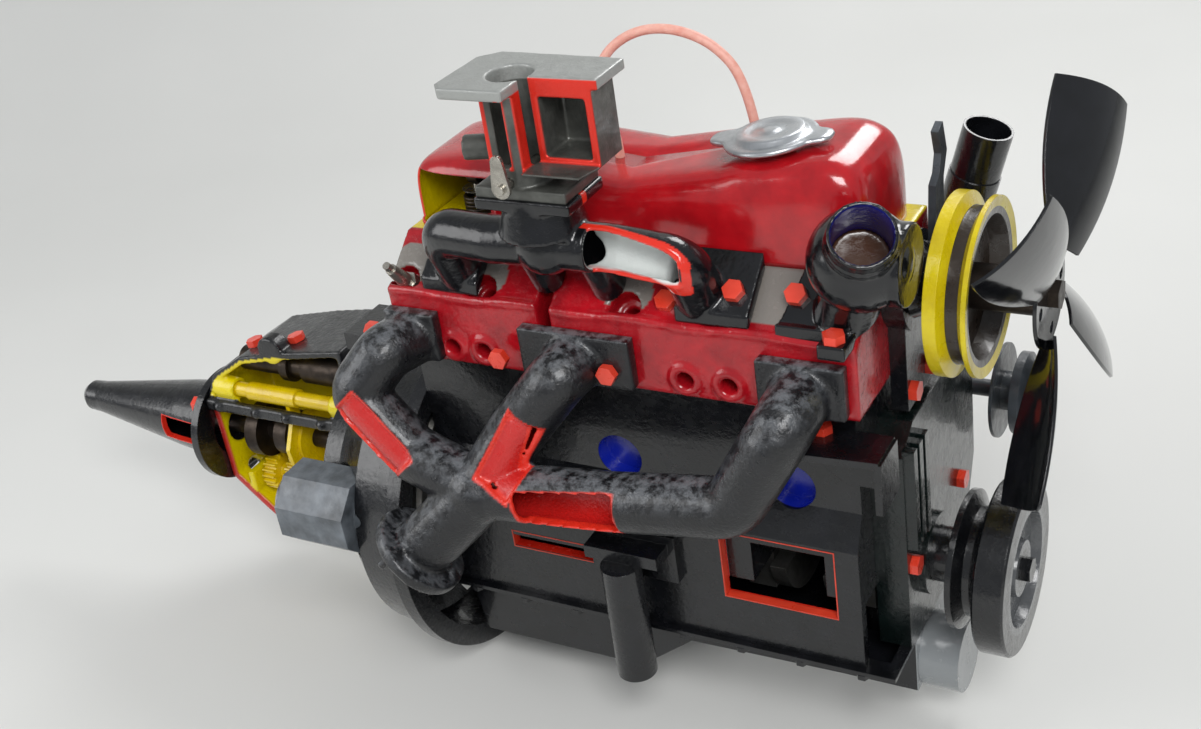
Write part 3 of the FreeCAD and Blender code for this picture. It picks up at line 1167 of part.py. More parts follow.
# Manifolds
def exhaust_manifold():
    """Three branches swept into one junction, with an outlet flange and a window in each branch."""
    outer = size("exhaust_radius")
    inner = size("exhaust_bore")
    port_z = size("head_foot") + 24
    face = -size("near_side")
    junction = (-106, -158, 103)
    outlet = (-172, -182, 37)
    rear = ((-186, face, port_z), (-198, -132, port_z), (-222, -152, 178), (-174, -154, 126), junction)
    middle = ((-24, face, port_z), (-30, -126, port_z - 4), (-76, -138, 150), junction)
    front = ((172, face, port_z), (172, -144, port_z - 6), (128, -152, 128), (20, -152, 112), junction)
    tail = (junction, outlet)
    bends = {"rear": 16, "middle": 14, "front": 30}
    shells = []
    cores = []
    for name, path in (("rear", rear), ("middle", middle), ("front", front)):
        shells.append(tube(path, bends[name], outer))
        longer = ((path[0][0], face + 5, path[0][2]),) + path[1:]
        cores.append(tube(longer, bends[name], inner))
    heading = Vector(*outlet) - Vector(*junction)
    shells.append(Part.makeCylinder(outer + 3, heading.Length, Vector(*junction), heading))
    cores.append(Part.makeCylinder(inner + 2, heading.Length + 5, Vector(*junction), heading))
    shells.append(Part.makeSphere(outer + 5, Vector(*junction)))
    flange_turn = FreeCAD.Rotation(Vector(0, 0, 1), heading)
    flange = Part.makeCylinder(44, 11, Vector(0, 0, -11))
    flange.Placement = FreeCAD.Placement(Vector(*outlet), flange_turn)
    shells.append(flange)
    for x, half in ((-186, 26), (-24, 52), (172, 36)):
        pad = Part.makeBox(2 * half, 12, 46, Vector(x - half, face - 12, port_z - 20))
        shells.append(pad)
        cores.append(Part.makeCylinder(inner - 3, 14, Vector(x, face - 13, port_z), Vector(0, 1, 0)))
    body = shells[0].multiFuse(shells[1:])
    body = body.cut(Part.makeBox(600, 200, 200, Vector(-300, face, port_z - 100)))
    body = body.cut(cores[0].multiFuse(cores[1:]))
    windows = (
        ((-198, -186, 150), (-1, 0, 1.1), 76),
        ((-66, -168, 148), (0.55, 0, 1), 66),
        ((-14, -182, 108), (1, 0, 0.12), 88),
    )
    for at, heading, length in windows:
        tool = Part.makeBox(length, 30, 30, Vector(-length / 2, -15, -15))
        tool.Placement = FreeCAD.Placement(Vector(*at), FreeCAD.Rotation(Vector(1, 0, 0), Vector(*heading)))
        body = body.cut(tool)
    studs = []
    for angle in (90, 210, 330):
        across = 34 * math.cos(math.radians(angle))
        side = 34 * math.sin(math.radians(angle))
        spot = flange_turn.multVec(Vector(across, side, -14))
        stud = Part.makeCylinder(4, 28, Vector(*outlet) + spot, flange_turn.multVec(Vector(0, 0, 1)))
        studs.append(stud)
    body = body.multiFuse(studs)
    return piece("exhaust_manifold", made("exhaust_manifold", body.removeSplitter()))


EAR_HEIGHT = 13


def intake_manifold():
    """Riser under the carburettor, a plenum and two long and two short branches down to the ledge."""
    outer = size("intake_radius")
    inner = size("intake_bore")
    x0 = size("carb_place")
    y0 = -size("carb_out")
    z0 = size("carb_foot")
    plenum = (x0, y0, 318)
    front = (plenum, (x0 + 56, y0, 318), (82, -94, 308), (82, -74, 264))
    rear = (plenum, (x0 - 52, y0, 316), (-140, -96, 314), (-140, -74, 262))
    shells = [tube(front, 22, outer), tube(rear, 18, outer), Part.makeSphere(outer + 6, Vector(*plenum))]
    cores = [tube(front, 22, inner), tube(rear, 18, inner), Part.makeSphere(inner + 4, Vector(*plenum))]
    for x in (-56, 0):
        shells.append(Part.makeCylinder(15, 70, Vector(x, y0 + 4, 322), Vector(0, 0.5, -1)))
        cores.append(Part.makeCylinder(11, 80, Vector(x, y0 + 4, 322), Vector(0, 0.5, -1)))
    riser = Part.makeCone(36, 28, z0 - 330, Vector(x0, y0, 330))
    pad = Part.makeBox(84, 58, 10, Vector(x0 - 42, y0 - 29, z0 - 10))
    shells += [riser, pad]
    cores.append(Part.makeCylinder(size("carb_bore"), 60, Vector(x0 - 8, y0, z0 - 50)))
    rise = size("head_top") - size("ledge_edge")
    run = size("near_side") - size("ledge_inner")
    for x, half in ((97, 32), (-146, 28)):
        low, high = (size("ledge_edge") + (size("near_side") - out) * rise / run for out in (93, 51))
        shells.append(polygon(((x - half, -93, low), (x - half, -93, low + EAR_HEIGHT),
                               (x - half, -51, high + EAR_HEIGHT), (x - half, -51, high)), (2 * half, 0, 0)))
    body = shells[0].multiFuse(shells[1:])
    ledge = polygon(((-250, -size("near_side"), size("ledge_edge") - 80), (-250, -size("near_side"), size("ledge_edge")),
                     (-250, -size("ledge_inner"), size("head_top")), (-250, 60, size("head_top")),
                     (-250, 60, size("ledge_edge") - 80)), (500, 0, 0))
    body = body.cut(ledge)
    body = body.cut(cores[0].multiFuse(cores[1:]))
    body = body.cut(Part.makeBox(74, 24, 44, Vector(10, -132, 294)))
    outside = DOC.getObject("cover_outside").Shape
    body = body.cut(outside)
    return piece("intake_manifold", made("intake_manifold", body.removeSplitter()))


def carburettor_body():
    """Zinc body with a broad top flange and one corner cut away to the throat."""
    x0 = size("carb_place")
    y0 = -size("carb_out")
    z0 = size("carb_foot")
    height = size("carb_height")
    base = polygon(((-40, -27, 0), (40, -27, 0), (40, 27, 0), (-40, 27, 0)), (0, 0, 9))
    waist = Part.makeCylinder(27, height, Vector(-8, 0, 0))
    bowl = polygon(((6, -30, 22), (56, -30, 22), (62, -10, 22), (62, 30, 22), (6, 34, 22)), (0, 0, height - 30))
    top = polygon(((-58, -28, 0), (-50, -38, 0), (56, -38, 0), (68, -28, 0), (68, 40, 0), (-40, 44, 0), (-56, 30, 0)), (0, 0, 9))
    top.translate(Vector(0, 0, height - 9))
    side = Part.makeCylinder(10, 26, Vector(-34, 4, 30), Vector(-1, -0.3, 0))
    body = base.multiFuse([waist, bowl, top, side])
    throat = Part.makeCylinder(size("carb_bore"), height + 2, Vector(-8, 0, -1))
    chamber = Part.makeBox(40, 48, height - 44, Vector(16, -20, 28))
    corner = polygon(((-60, -60, 26), (6, -60, 26), (-8, -8, 26), (-60, -20, 26)), (0, 0, height - 36))
    spindle = Part.makeCylinder(4 + size("running_play"), 120, Vector(-8, -60, 14), Vector(0, 1, 0))
    body = body.cut(throat).cut(chamber).cut(corner).cut(spindle)
    body.translate(Vector(x0, y0, z0))
    piece("carburettor_body", made("carburettor_body", body.removeSplitter()))
    rod_shape = Part.makeCylinder(4, 84, Vector(-8, -42, 14), Vector(0, 1, 0))
    disc = Part.makeCylinder(size("carb_bore") - 0.4, 2, Vector(-8, 0, 13))
    lever = lobe(8, 5, 22).extrude(Vector(3, 0, 0))
    lever.rotate(Vector(), Vector(0, 0, 1), 90)
    lever.translate(Vector(-8, -39, 14))
    throttle = rod_shape.multiFuse([disc, lever])
    throttle.translate(Vector(x0, y0, z0))
    return piece("throttle_valve", made("throttle_valve", throttle))


def spark_plug():
    """The one plug that is fitted, in the rear well: hex, insulator and terminal."""
    axis = LEDGE_TURN.multVec(Vector(0, 0, 1))
    centre = Vector(-196, -76, size("ledge_edge") - 6)
    body = Part.makeCylinder(6.5, 14, centre - axis * 12, axis)
    shank = hexagon(10, 14, tuple(centre + axis * 0.05), tuple(axis))
    ceramic = Part.makeCone(7, 5, 26, centre + axis * 14, axis)
    tip = Part.makeCylinder(3.5, 8, centre + axis * 40, axis)
    return piece("spark_plug", made("spark_plug", body.multiFuse([shank, ceramic, tip])))


HOSE_ROUTE = (
    (-20, 6, 343.4), (-20, 6, 366), (-36, 14, 384), (-42, 22, 406), (-32, 30, 428), (-6, 36, 443), (26, 40, 444),
    (58, 44, 430), (82, 43, 402), (88, 42, 361),
)
HOSE_RADIUS = 4.0


def breather_hose():
    """The pale hose that arches over the cover; every arc takes 0.45 of its shorter run."""
    corners = [Vector(*point) for point in HOSE_ROUTE]
    edges = []
    start = corners[0]
    radii = []
    for before, corner, after in zip(corners, corners[1:], corners[2:]):
        back = before - corner
        ahead = after - corner
        reach = 0.45 * min(back.Length, ahead.Length)
        back.normalize()
        ahead.normalize()
        half = back.getAngle(ahead) / 2
        bend = reach * math.tan(half)
        radii.append(round(bend, 1))
        first = corner + back * reach
        last = corner + ahead * reach
        middle = corner + (back + ahead).normalize() * (bend / math.sin(half) - bend)
        edges += [Part.LineSegment(start, first).toShape(), Part.Arc(first, middle, last).toShape()]
        start = last
    edges.append(Part.LineSegment(start, corners[-1]).toShape())
    path = Part.Wire(edges)
    ring = Part.Wire(Part.makeCircle(HOSE_RADIUS, corners[0], corners[1] - corners[0]))
    hose = path.makePipeShell([ring], True, False)
    print("hose radii", radii, "length", round(path.Length, 1),
          "volume share", round(hose.Volume / (math.pi * HOSE_RADIUS ** 2 * path.Length), 4))
    return piece("breather_hose", made("breather_hose", hose))


# Accessories
def alternator():
    axis = Vector(1, 0, 0)
    y = size("alternator_y")
    z = size("alternator_z")
    radius = size("alternator_radius")
    rear = 96
    front = size("block_half") - 10
    barrel = Part.makeCylinder(radius, front - rear - 12, Vector(rear, y, z), axis)
    nose = Part.makeCone(radius, 30, 12, Vector(front - 12, y, z), axis)
    ear = polygon(((120, y - 46, z - 12), (150, y - 46, z - 12), (150, size("far_side"), z - 12),
                   (120, size("far_side"), z - 12)), (0, 0, 24))
    body = barrel.multiFuse([nose, ear])
    bore = Part.makeCylinder(8 + size("running_play"), 140, Vector(front - 100, y, z), axis)
    piece("alternator_body", made("alternator_body", body.cut(bore)))
    belt = size("belt_plane")
    shaft = Part.makeCylinder(8, belt + 8 - front + 90, Vector(front - 90, y, z), axis)
    wheel = Part.makeCylinder(38, 8, Vector(belt - 14, y, z), axis)
    rim = Part.makeCone(38, 27, 6, Vector(belt - 6, y, z), axis)
    rim2 = Part.makeCone(27, 38, 6, Vector(belt, y, z), axis)
    face = Part.makeCylinder(38, 4, Vector(belt + 6, y, z), axis)
    vanes = Part.makeCylinder(44, 3, Vector(belt - 30, y, z), axis)
    hub = Part.makeCylinder(18, 22, Vector(belt - 30, y, z), axis)
    heads = [hexagon(6, 5, (belt + 10, y + 22 * math.sin(a), z + 22 * math.cos(a)), (1, 0, 0)) for a in (0.0, math.pi)]
    wheel_set = shaft.multiFuse([wheel, rim, rim2, face, vanes, hub] + heads)
    return piece("alternator_pulley", made("alternator_pulley", wheel_set))


def lifting_eye():
    """Hook-shaped lifting bracket on the front of the head."""
    shape = polygon(((0, 24, 0), (0, 46, 0), (0, 50, 44), (0, 60, 62), (0, 52, 88), (0, 40, 84), (0, 46, 64),
                     (0, 40, 50), (0, 30, 44)), (6, 0, 0))
    shape.translate(Vector(size("block_half") + 28, 0, size("pump_height") + 22))
    return piece("lifting_eye", made("lifting_eye", shape))


def accessory_tray():
    """Angular bracket bolted to the side of the block under the front exhaust branch."""
    z = 120
    side = -size("near_side")
    top = polygon(((140, side - 30, z + 42), (236, side - 24, z + 42), (236, -size("deck_near"), z + 42),
                   (140, -size("deck_near"), z + 42)), (0, 0, 6))
    front = polygon(((232, side - 24, z + 46), (232, side - 24, z), (232, -size("deck_near"), z),
                     (232, -size("deck_near"), z + 46)), (6, 0, 0))
    web = polygon(((140, -size("deck_near"), z + 44), (236, -size("deck_near"), z + 44),
                   (236, -size("deck_near"), z), (196, -size("deck_near"), z)), (0, -6, 0))
    return piece("accessory_bracket", made("accessory_bracket", top.multiFuse([front, web])))


def support_posts():
    """The two display-stand posts, each with the bracket that bolts to the block."""
    posts = []
    for side in (-1, 1):
        y = side * size("post_span") / 2
        wall = side * (size("near_side") if side < 0 else size("far_side"))
        post = Part.makeCylinder(size("post_radius"), 118, Vector(0, y, -94))
        low, high = sorted((wall, y))
        bracket = Part.makeBox(70, high - low, 12, Vector(-35, low, 24))
        plate_y = wall - 8 if side < 0 else wall
        pad = Part.makeBox(84, 8, 48, Vector(-42, plate_y, -4))
        shape = post.multiFuse([bracket, pad])
        shape = shape.cut(Part.makeCylinder(size("post_bore"), 112, Vector(0, y, -95)))
        posts.append(shape)
    return piece("support_posts", made("support_posts", Part.makeCompound(posts)))


# The painted hexagon bolts, one group because all are alike
def hex_bolts():
    near = -size("near_side")
    port_z = size("head_foot") + 24
    ledge = LEDGE_TURN.multVec(Vector(0, 0, 1))
    spots = [
        ((-223, near - 12, port_z + 6), (0, -1, 0)),
        ((-96, near - 12, port_z - 4), (0, -1, 0)),
        ((7, near - 12, port_z - 4), (0, -1, 0)),
        ((180, -size("near_side") + 7, 168), (0, 0, 1)),
    ]
    rise = size("head_top") - size("ledge_edge")
    run = size("near_side") - size("ledge_inner")
    slope = Vector(0, -rise, run).normalize()
    z = size("ledge_edge") + (size("near_side") - 80) * rise / run
    spots.append(((54, -80, z), tuple(slope)))
    lift = (rise - 2) / (88 - size("ledge_inner"))
    spots.append(((162, -72, size("ledge_edge") + 12 + 16 * lift), (0, -lift, 1)))
    spots.append(((203, -106.5, size("ledge_edge") + 12), (0, 0, 1)))
    z = size("ledge_edge") + (size("near_side") - 78) * rise / run + EAR_HEIGHT
    spots.append(((113, -78, z), tuple(slope)))
    spots += [
        ((size("block_half") + 28, -46, 20), (1, 0, 0)),
        ((size("block_half") + 28, 84, 20), (1, 0, 0)),
        ((size("block_half") + 24, -18, size("pump_foot") + 16), (1, 0, 0)),
        ((size("block_half") + 24, 24, size("pump_foot") + 16), (1, 0, 0)),
    ]
    top = size("box_top")
    rear = size("box_rear")
    run = size("bell_rear") - 74 - rear - 58
    for x in (rear + 60, size("bell_rear") - 77):
        spots.append(((x, 0, top - 11.95 + 14 * (x - rear - 58) / run), (-14, 0, run)))
    for turn in (50, 130, 230, 310):
        angle = math.radians(turn)
        spots.append(((rear - 9, -52.5 * math.cos(angle), 52.5 * math.sin(angle)), (-1, 0, 0)))
    heads = []
    for at, axis in spots:
        heads.append(hexagon(size("bolt_head"), size("bolt_head_height"), at, axis))
    return piece("hex_bolts", made("hex_bolts", Part.makeCompound(heads)))


def build():
    cylinder_block()
    main_bearing_caps()
    oil_pan()
    sump_bolts()
    cylinder_head()
    head_gasket()
    rocker_cover()
    oil_filler_cap()
    rocker_shaft()
    rocker_arms()
    valves()
    valve_springs()
    pushrods()
    crankshaft()
    crank_pulley()
    timing_gears()
    camshaft()
    for number, place_x in CYLINDERS:
        piston_set(number, place_x)
        connecting_rod(number, place_x)
    flywheel()
    bellhousing()
    starter_motor()
    gearbox_case()
    extension_housing()
    gearbox_shafts()
    selector()
    clutch_release()
    timing_cover()
    DOC.recompute()
    water_pump_body()
    coolant_inlet_tube()
    water_pump_pulley()
    fan()
    thermostat_housing()
    exhaust_manifold()
    intake_manifold()
    carburettor_body()
    spark_plug()
    breather_hose()
    alternator()
    lifting_eye()
    accessory_tray()
    support_posts()
    hex_bolts()


build()
DOC.recompute()
for thing in DOC.Objects:
    if "Invalid" in thing.State or "Error" in thing.State:
        raise RuntimeError(f"{thing.Label} failed: {thing.State} {thing.getStatusString()}")
for thing in PIECES:
    if thing.Shape.isNull() or not thing.Shape.isValid() or not thing.Shape.Solids:
        raise RuntimeError(f"{thing.Label} has no valid solid")
os.makedirs("parts", exist_ok=True)
for thing in PIECES:
    thing.Shape.exportStep(f"parts/{thing.Label}.step")
    print(thing.Label, len(thing.Shape.Solids), round(thing.Shape.Volume))
print(len(PIECES), "sub-parts")
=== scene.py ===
# %% [markdown]
# # A cut-away four-cylinder engine
# The engine is a training model: a real overhead-valve engine whose castings have windows sawn into
# them, with the sawn edges painted orange-red and the hidden rooms painted yellow or white. The frame
# below already has every part in its true place, so this lesson is about finish: which castings need
# softer edges, which parts are better drawn again, and what each coat of paint does to the light.

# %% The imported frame
import math

import bmesh
import bpy
import numpy as np
from mathutils import Matrix, Vector


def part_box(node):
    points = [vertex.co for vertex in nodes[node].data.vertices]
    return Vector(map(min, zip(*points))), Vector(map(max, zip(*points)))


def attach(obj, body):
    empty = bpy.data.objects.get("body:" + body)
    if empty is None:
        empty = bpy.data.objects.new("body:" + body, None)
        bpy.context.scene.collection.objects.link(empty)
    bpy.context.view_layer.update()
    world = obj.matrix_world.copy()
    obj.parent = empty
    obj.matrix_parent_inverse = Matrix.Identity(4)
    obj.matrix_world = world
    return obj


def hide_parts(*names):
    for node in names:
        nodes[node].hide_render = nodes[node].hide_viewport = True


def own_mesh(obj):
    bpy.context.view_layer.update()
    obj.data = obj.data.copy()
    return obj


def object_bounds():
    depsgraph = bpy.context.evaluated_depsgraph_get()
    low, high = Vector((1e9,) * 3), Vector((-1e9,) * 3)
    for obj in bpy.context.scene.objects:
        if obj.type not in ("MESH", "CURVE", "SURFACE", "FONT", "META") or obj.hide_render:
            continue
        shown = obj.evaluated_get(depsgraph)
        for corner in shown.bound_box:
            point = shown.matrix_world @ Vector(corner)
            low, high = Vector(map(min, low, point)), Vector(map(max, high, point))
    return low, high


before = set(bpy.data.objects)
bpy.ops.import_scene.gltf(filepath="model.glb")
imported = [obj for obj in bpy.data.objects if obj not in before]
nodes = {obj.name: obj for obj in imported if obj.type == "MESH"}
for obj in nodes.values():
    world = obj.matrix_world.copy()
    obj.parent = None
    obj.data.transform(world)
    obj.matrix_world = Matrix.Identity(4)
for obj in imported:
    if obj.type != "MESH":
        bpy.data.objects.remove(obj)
cad_low, cad_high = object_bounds()
print("nodes:", len(nodes), "box:", [round(v, 3) for v in (*cad_low, *cad_high)])

MM = 0.001


# %% [markdown]
# ## The camera
# The picture was taken from the front corner on the manifold side, a little above the engine and with
# the camera tilted. The place, the turn and the lens were found by matching known points of the
# engine, such as the two ends of its posts, the pulley rims and the bolts, to where they are seen.

# %% Camera at the photograph's place
PHOTO_WIDTH, PHOTO_HEIGHT = 1201, 729
CAMERA_PLACE = (0.5899, -1.0358, 0.8353)
CAMERA_TURN, CAMERA_TILT, CAMERA_ROLL = (math.radians(v) for v in (32.4, 29.5, -9.1))
FOCAL_PIXELS = 1564.9
SENSOR = 36.0


def camera_axes(turn, tilt, roll):
    """Right, up and backward directions: turn about Z, then tilt down, then roll about the view line."""
    forward = Vector((-math.sin(turn) * math.cos(tilt), math.cos(turn) * math.cos(tilt), -math.sin(tilt)))
    right = Vector((math.cos(turn), math.sin(turn), 0))
    up = right.cross(forward)
    rolled_right = right * math.cos(roll) + up * math.sin(roll)
    rolled_up = up * math.cos(roll) - right * math.sin(roll)
    return Matrix((rolled_right, rolled_up, -forward)).transposed()


camera = bpy.data.objects.new("camera", bpy.data.cameras.new("camera"))
camera.data.sensor_width = SENSOR
camera.data.lens = FOCAL_PIXELS / PHOTO_WIDTH * SENSOR
camera.matrix_world = Matrix.Translation(CAMERA_PLACE) @ camera_axes(CAMERA_TURN, CAMERA_TILT, CAMERA_ROLL).to_4x4()
bpy.context.scene.collection.objects.link(camera)
bpy.context.scene.camera = camera
bpy.context.scene.view_settings.view_transform = "Standard"
print("lens:", round(camera.data.lens, 2), "mm")


# %% [markdown]
# ## Helpers for materials
# Paint colours are written as the hex values that a screen shows. Blender works in linear light, so one
# function turns them. Another adds a node with its settings and links, and a third makes soft blotches
# of a stated size, because no paint or casting is even all over.

# %% Colour and node helpers
def linear(hex_colour, alpha=1.0):
    """sRGB hex to linear RGBA: the power curve of the sRGB standard, channel by channel."""
    values = [int(hex_colour[k:k + 2], 16) / 255 for k in (0, 2, 4)]
    return tuple(v / 12.92 if v <= 0.04045 else ((v + 0.055) / 1.055) ** 2.4 for v in values) + (alpha,)


def add(tree, kind, settings=None, links=None):
    """One node of a kind. A setting is an input's value or a property; a link feeds an input from a socket."""
    made = tree.nodes.new(kind)
    for key, value in (settings or {}).items():
        if isinstance(key, int) or key in made.inputs:
            made.inputs[key].default_value = value
        else:
            setattr(made, key, value)
    for key, socket in (links or {}).items():
        tree.links.new(socket, made.inputs[key])
    return made


def new_finish(name):
    """An empty material: its node tree, its surface shader and a place in millimetres on the object."""
    finish = bpy.data.materials.new(name)
    finish.use_nodes = True
    tree = finish.node_tree
    surface = tree.nodes["Principled BSDF"]
    place = add(tree, "ShaderNodeTexCoord").outputs["Object"]
    millimetres = add(tree, "ShaderNodeVectorMath", {"operation": "SCALE", "Scale": 1000.0}, {0: place}).outputs[0]
    return finish, tree, surface, millimetres


def blotches(tree, place, size_mm, low, high, detail=3.0, sharp=0.0):
    """Cloudy noise with features of a size in mm, spread over a range of values."""
    noise = add(tree, "ShaderNodeTexNoise", {"Scale": 1.0 / size_mm, "Detail": detail, "Roughness": 0.6},
                {"Vector": place})
    spread = {"From Min": 0.3 + sharp, "From Max": 0.7 - sharp, "To Min": low, "To Max": high}
    return add(tree, "ShaderNodeMapRange", spread, {"Value": noise.outputs["Fac"]}).outputs["Result"]


def paint_over(tree, share, under, over):
    """The under paint where the share is 0, the over paint where it is 1. A paint is a hex value or a socket."""
    mix = add(tree, "ShaderNodeMix", {"data_type": "RGBA"})
    for index, colour in ((6, under), (7, over)):
        if isinstance(colour, str):
            mix.inputs[index].default_value = linear(colour)
        else:
            tree.links.new(colour, mix.inputs[index])
    if isinstance(share, (int, float)):
        mix.inputs[0].default_value = share
    else:
        tree.links.new(share, mix.inputs[0])
    return mix.outputs[2]


def rough_skin(tree, surface, place, grain_mm, depth_mm, soften_mm=1.2):
    """Bump of a cast or painted skin over edges that are rounded by a small radius."""
    soft = add(tree, "ShaderNodeBevel", {"samples": 4, "Radius": soften_mm * MM}).outputs[0]
    height = blotches(tree, place, grain_mm, 0.0, 1.0)
    bump = add(tree, "ShaderNodeBump", {"Strength": 0.6, "Distance": depth_mm * MM},
               {"Height": height, "Normal": soft})
    tree.links.new(bump.outputs[0], surface.inputs["Normal"])


def in_box(tree, place, low, high):
    """1 inside a box whose corners are in mm, 0 outside: the farthest axis from the middle decides."""
    middle = [(a + b) / 2 for a, b in zip(low, high)]
    half = [(b - a) / 2 for a, b in zip(low, high)]
    away = add(tree, "ShaderNodeVectorMath", {"operation": "SUBTRACT", 1: middle}, {0: place}).outputs[0]
    away = add(tree, "ShaderNodeVectorMath", {"operation": "ABSOLUTE"}, {0: away}).outputs[0]
    share = add(tree, "ShaderNodeVectorMath", {"operation": "DIVIDE", 1: half}, {0: away}).outputs[0]
    axes = add(tree, "ShaderNodeSeparateXYZ", links={0: share}).outputs
    most = add(tree, "ShaderNodeMath", {"operation": "MAXIMUM"}, {0: axes[0], 1: axes[1]}).outputs[0]
    most = add(tree, "ShaderNodeMath", {"operation": "MAXIMUM"}, {0: most, 1: axes[2]}).outputs[0]
    return add(tree, "ShaderNodeMath", {"operation": "LESS_THAN", 1: 1.0}, {0: most}).outputs[0]


def in_ring(tree, place, axis_y, axis_z, inner, outer, low_x, high_x):
    """1 between two radii of an axis along X, over a stretch of x, in mm."""
    axes = add(tree, "ShaderNodeSeparateXYZ", links={0: place}).outputs
    flat = add(tree, "ShaderNodeCombineXYZ", {"X": 0.0}, {"Y": axes[1], "Z": axes[2]}).outputs[0]
    from_axis = add(tree, "ShaderNodeVectorMath", {"operation": "DISTANCE", 1: (0.0, axis_y, axis_z)}, {0: flat})
    radius = from_axis.outputs["Value"]
    share = add(tree, "ShaderNodeCombineXYZ", {"Z": 0.0}, {"X": axes[0], "Y": radius}).outputs[0]
    return in_box(tree, share, (low_x, inner, -1), (high_x, outer, 1))


# %% [markdown]
# ## Gloss enamel
# Most castings are brushed with thick gloss enamel straight over the sand-cast iron. Two things show
# it: broad highlights that wobble with the casting's skin below, and colour that is a little deeper
# where the coat is thick. Sawn edges and opened rooms get a second colour, and `patches` paints them
# by boxes in the object's own millimetres.

# %% Enamel over cast iron
def enamel(name, colour, deep, roughness=0.22, grain_mm=5.0, skin_mm=0.35, patches=(), rings=(), coat=0.4):
    """Gloss paint on iron. A patch is (low, high, paint); a ring is (y, z, inner, outer, low x, high x, paint)."""
    finish, tree, surface, place = new_finish(name)
    shade = paint_over(tree, blotches(tree, place, 26.0, 0.0, 1.0), colour, deep)
    for low, high, paint in patches:
        shade = paint_over(tree, in_box(tree, place, low, high), shade, paint)
    for axis_y, axis_z, inner, outer, low_x, high_x, paint in rings:
        shade = paint_over(tree, in_ring(tree, place, axis_y, axis_z, inner, outer, low_x, high_x), shade, paint)
    tree.links.new(shade, surface.inputs["Base Color"])
    tree.links.new(blotches(tree, place, 12.0, roughness * 0.75, roughness * 1.5), surface.inputs["Roughness"])
    surface.inputs["IOR"].default_value = 1.5
    surface.inputs["Coat Weight"].default_value = coat
    surface.inputs["Coat Roughness"].default_value = 0.08
    rough_skin(tree, surface, place, grain_mm, skin_mm)
    return finish


# %% [markdown]
# ## Bare metal
# Machined faces keep fine tool lines and dull quickly; turned steel is darker where oil has dried on
# it. Both are metals, so their colour sits in the reflection and the variation is in the roughness.

# %% Bare metal, bright or oily
def bare_metal(name, light, dark, roughness, metallic=0.9, grain_mm=1.6, skin_mm=0.08, patches=(), rings=()):
    """Machined or turned metal that is dull in patches; patches and rings of paint as on enamel."""
    finish, tree, surface, place = new_finish(name)
    shade = paint_over(tree, blotches(tree, place, 14.0, 0.0, 1.0, detail=5.0), light, dark)
    for low, high, paint in patches:
        shade = paint_over(tree, in_box(tree, place, low, high), shade, paint)
    for axis_y, axis_z, inner, outer, low_x, high_x, paint in rings:
        shade = paint_over(tree, in_ring(tree, place, axis_y, axis_z, inner, outer, low_x, high_x), shade, paint)
    tree.links.new(shade, surface.inputs["Base Color"])
    surface.inputs["Metallic"].default_value = metallic
    tree.links.new(blotches(tree, place, 7.0, roughness * 0.8, roughness * 1.3), surface.inputs["Roughness"])
    rough_skin(tree, surface, place, grain_mm, skin_mm, 0.6)
    return finish


# %% [markdown]
# ## Paint that follows the form
# On the castings that are drawn again below, a painter's brush went round an edge and into a bore,
# which no box can follow. There each point of the mesh stores which coat it has in an attribute named
# `coat`, and the material blends from the outer paint to the inner one by it, and by `edge` to the
# orange-red of the sawn edge.

# %% Two coats and a sawn edge, by attributes
def coated(name, outside, outside_deep, inside, edge, roughness=0.24, grain_mm=5.0, skin_mm=0.4, wear_and_sheen_paint=None,
           metallic=0.0):
    """An outer paint, greyed where the `wear` attribute is high, as rubbed paint and a painted highlight, if asked;
    an inner coat and an edge, by the mesh's attributes.
    """
    finish, tree, surface, place = new_finish(name)
    shade = paint_over(tree, blotches(tree, place, 24.0, 0.0, 1.0), outside, outside_deep)
    if wear_and_sheen_paint:
        # The `wear` attribute greys the paint both where it is rubbed and as a painted highlight on up-facing tops.
        scuffs_and_sheen = blotches(tree, place, 9.0, 0.0, 1.0, detail=8.0, sharp=0.12)
        worn_and_lit_tops = add(tree, "ShaderNodeAttribute", {"attribute_name": "wear"}).outputs["Fac"]
        scuffs_and_sheen = add(tree, "ShaderNodeMath", {"operation": "MULTIPLY"}, {0: scuffs_and_sheen, 1: worn_and_lit_tops}).outputs[0]
        shade = paint_over(tree, scuffs_and_sheen, shade, wear_and_sheen_paint)
    inner = add(tree, "ShaderNodeAttribute", {"attribute_name": "coat"}).outputs["Fac"]
    rim = add(tree, "ShaderNodeAttribute", {"attribute_name": "edge"}).outputs["Fac"]
    shade = paint_over(tree, inner, shade, inside)
    shade = paint_over(tree, rim, shade, edge)
    tree.links.new(shade, surface.inputs["Base Color"])
    tree.links.new(blotches(tree, place, 10.0, roughness * 0.7, roughness * 1.6), surface.inputs["Roughness"])
    surface.inputs["Metallic"].default_value = metallic
    surface.inputs["IOR"].default_value = 1.5
    surface.inputs["Coat Weight"].default_value = 0.3
    surface.inputs["Coat Roughness"].default_value = 0.1
    rough_skin(tree, surface, place, grain_mm, skin_mm, 0.8)
    return finish


# %% The paints of this engine
BLACK, BLACK_DEEP = "15161a", "0a0b0d"
RED, RED_DEEP = "b81420", "8f0d18"
CUT_RED = "e0301f"
YELLOW = "e0cc00"
BLUE = "10229a"

BLOCK_WINDOW = ((81, -94.8, -14), (185, -84, 56), CUT_RED)
BLOCK_SLIT = ((-131, -94.8, -8), (-29, -84, 11), CUT_RED)
CORE_HOLES = [((x - 21.6, -79.4, 82), (x + 21.6, -52, 126), BLUE) for x in (-12, 146)]
TAIL_WINDOW = ((-617, -60, -12), (-549, -18, 16), CUT_RED)

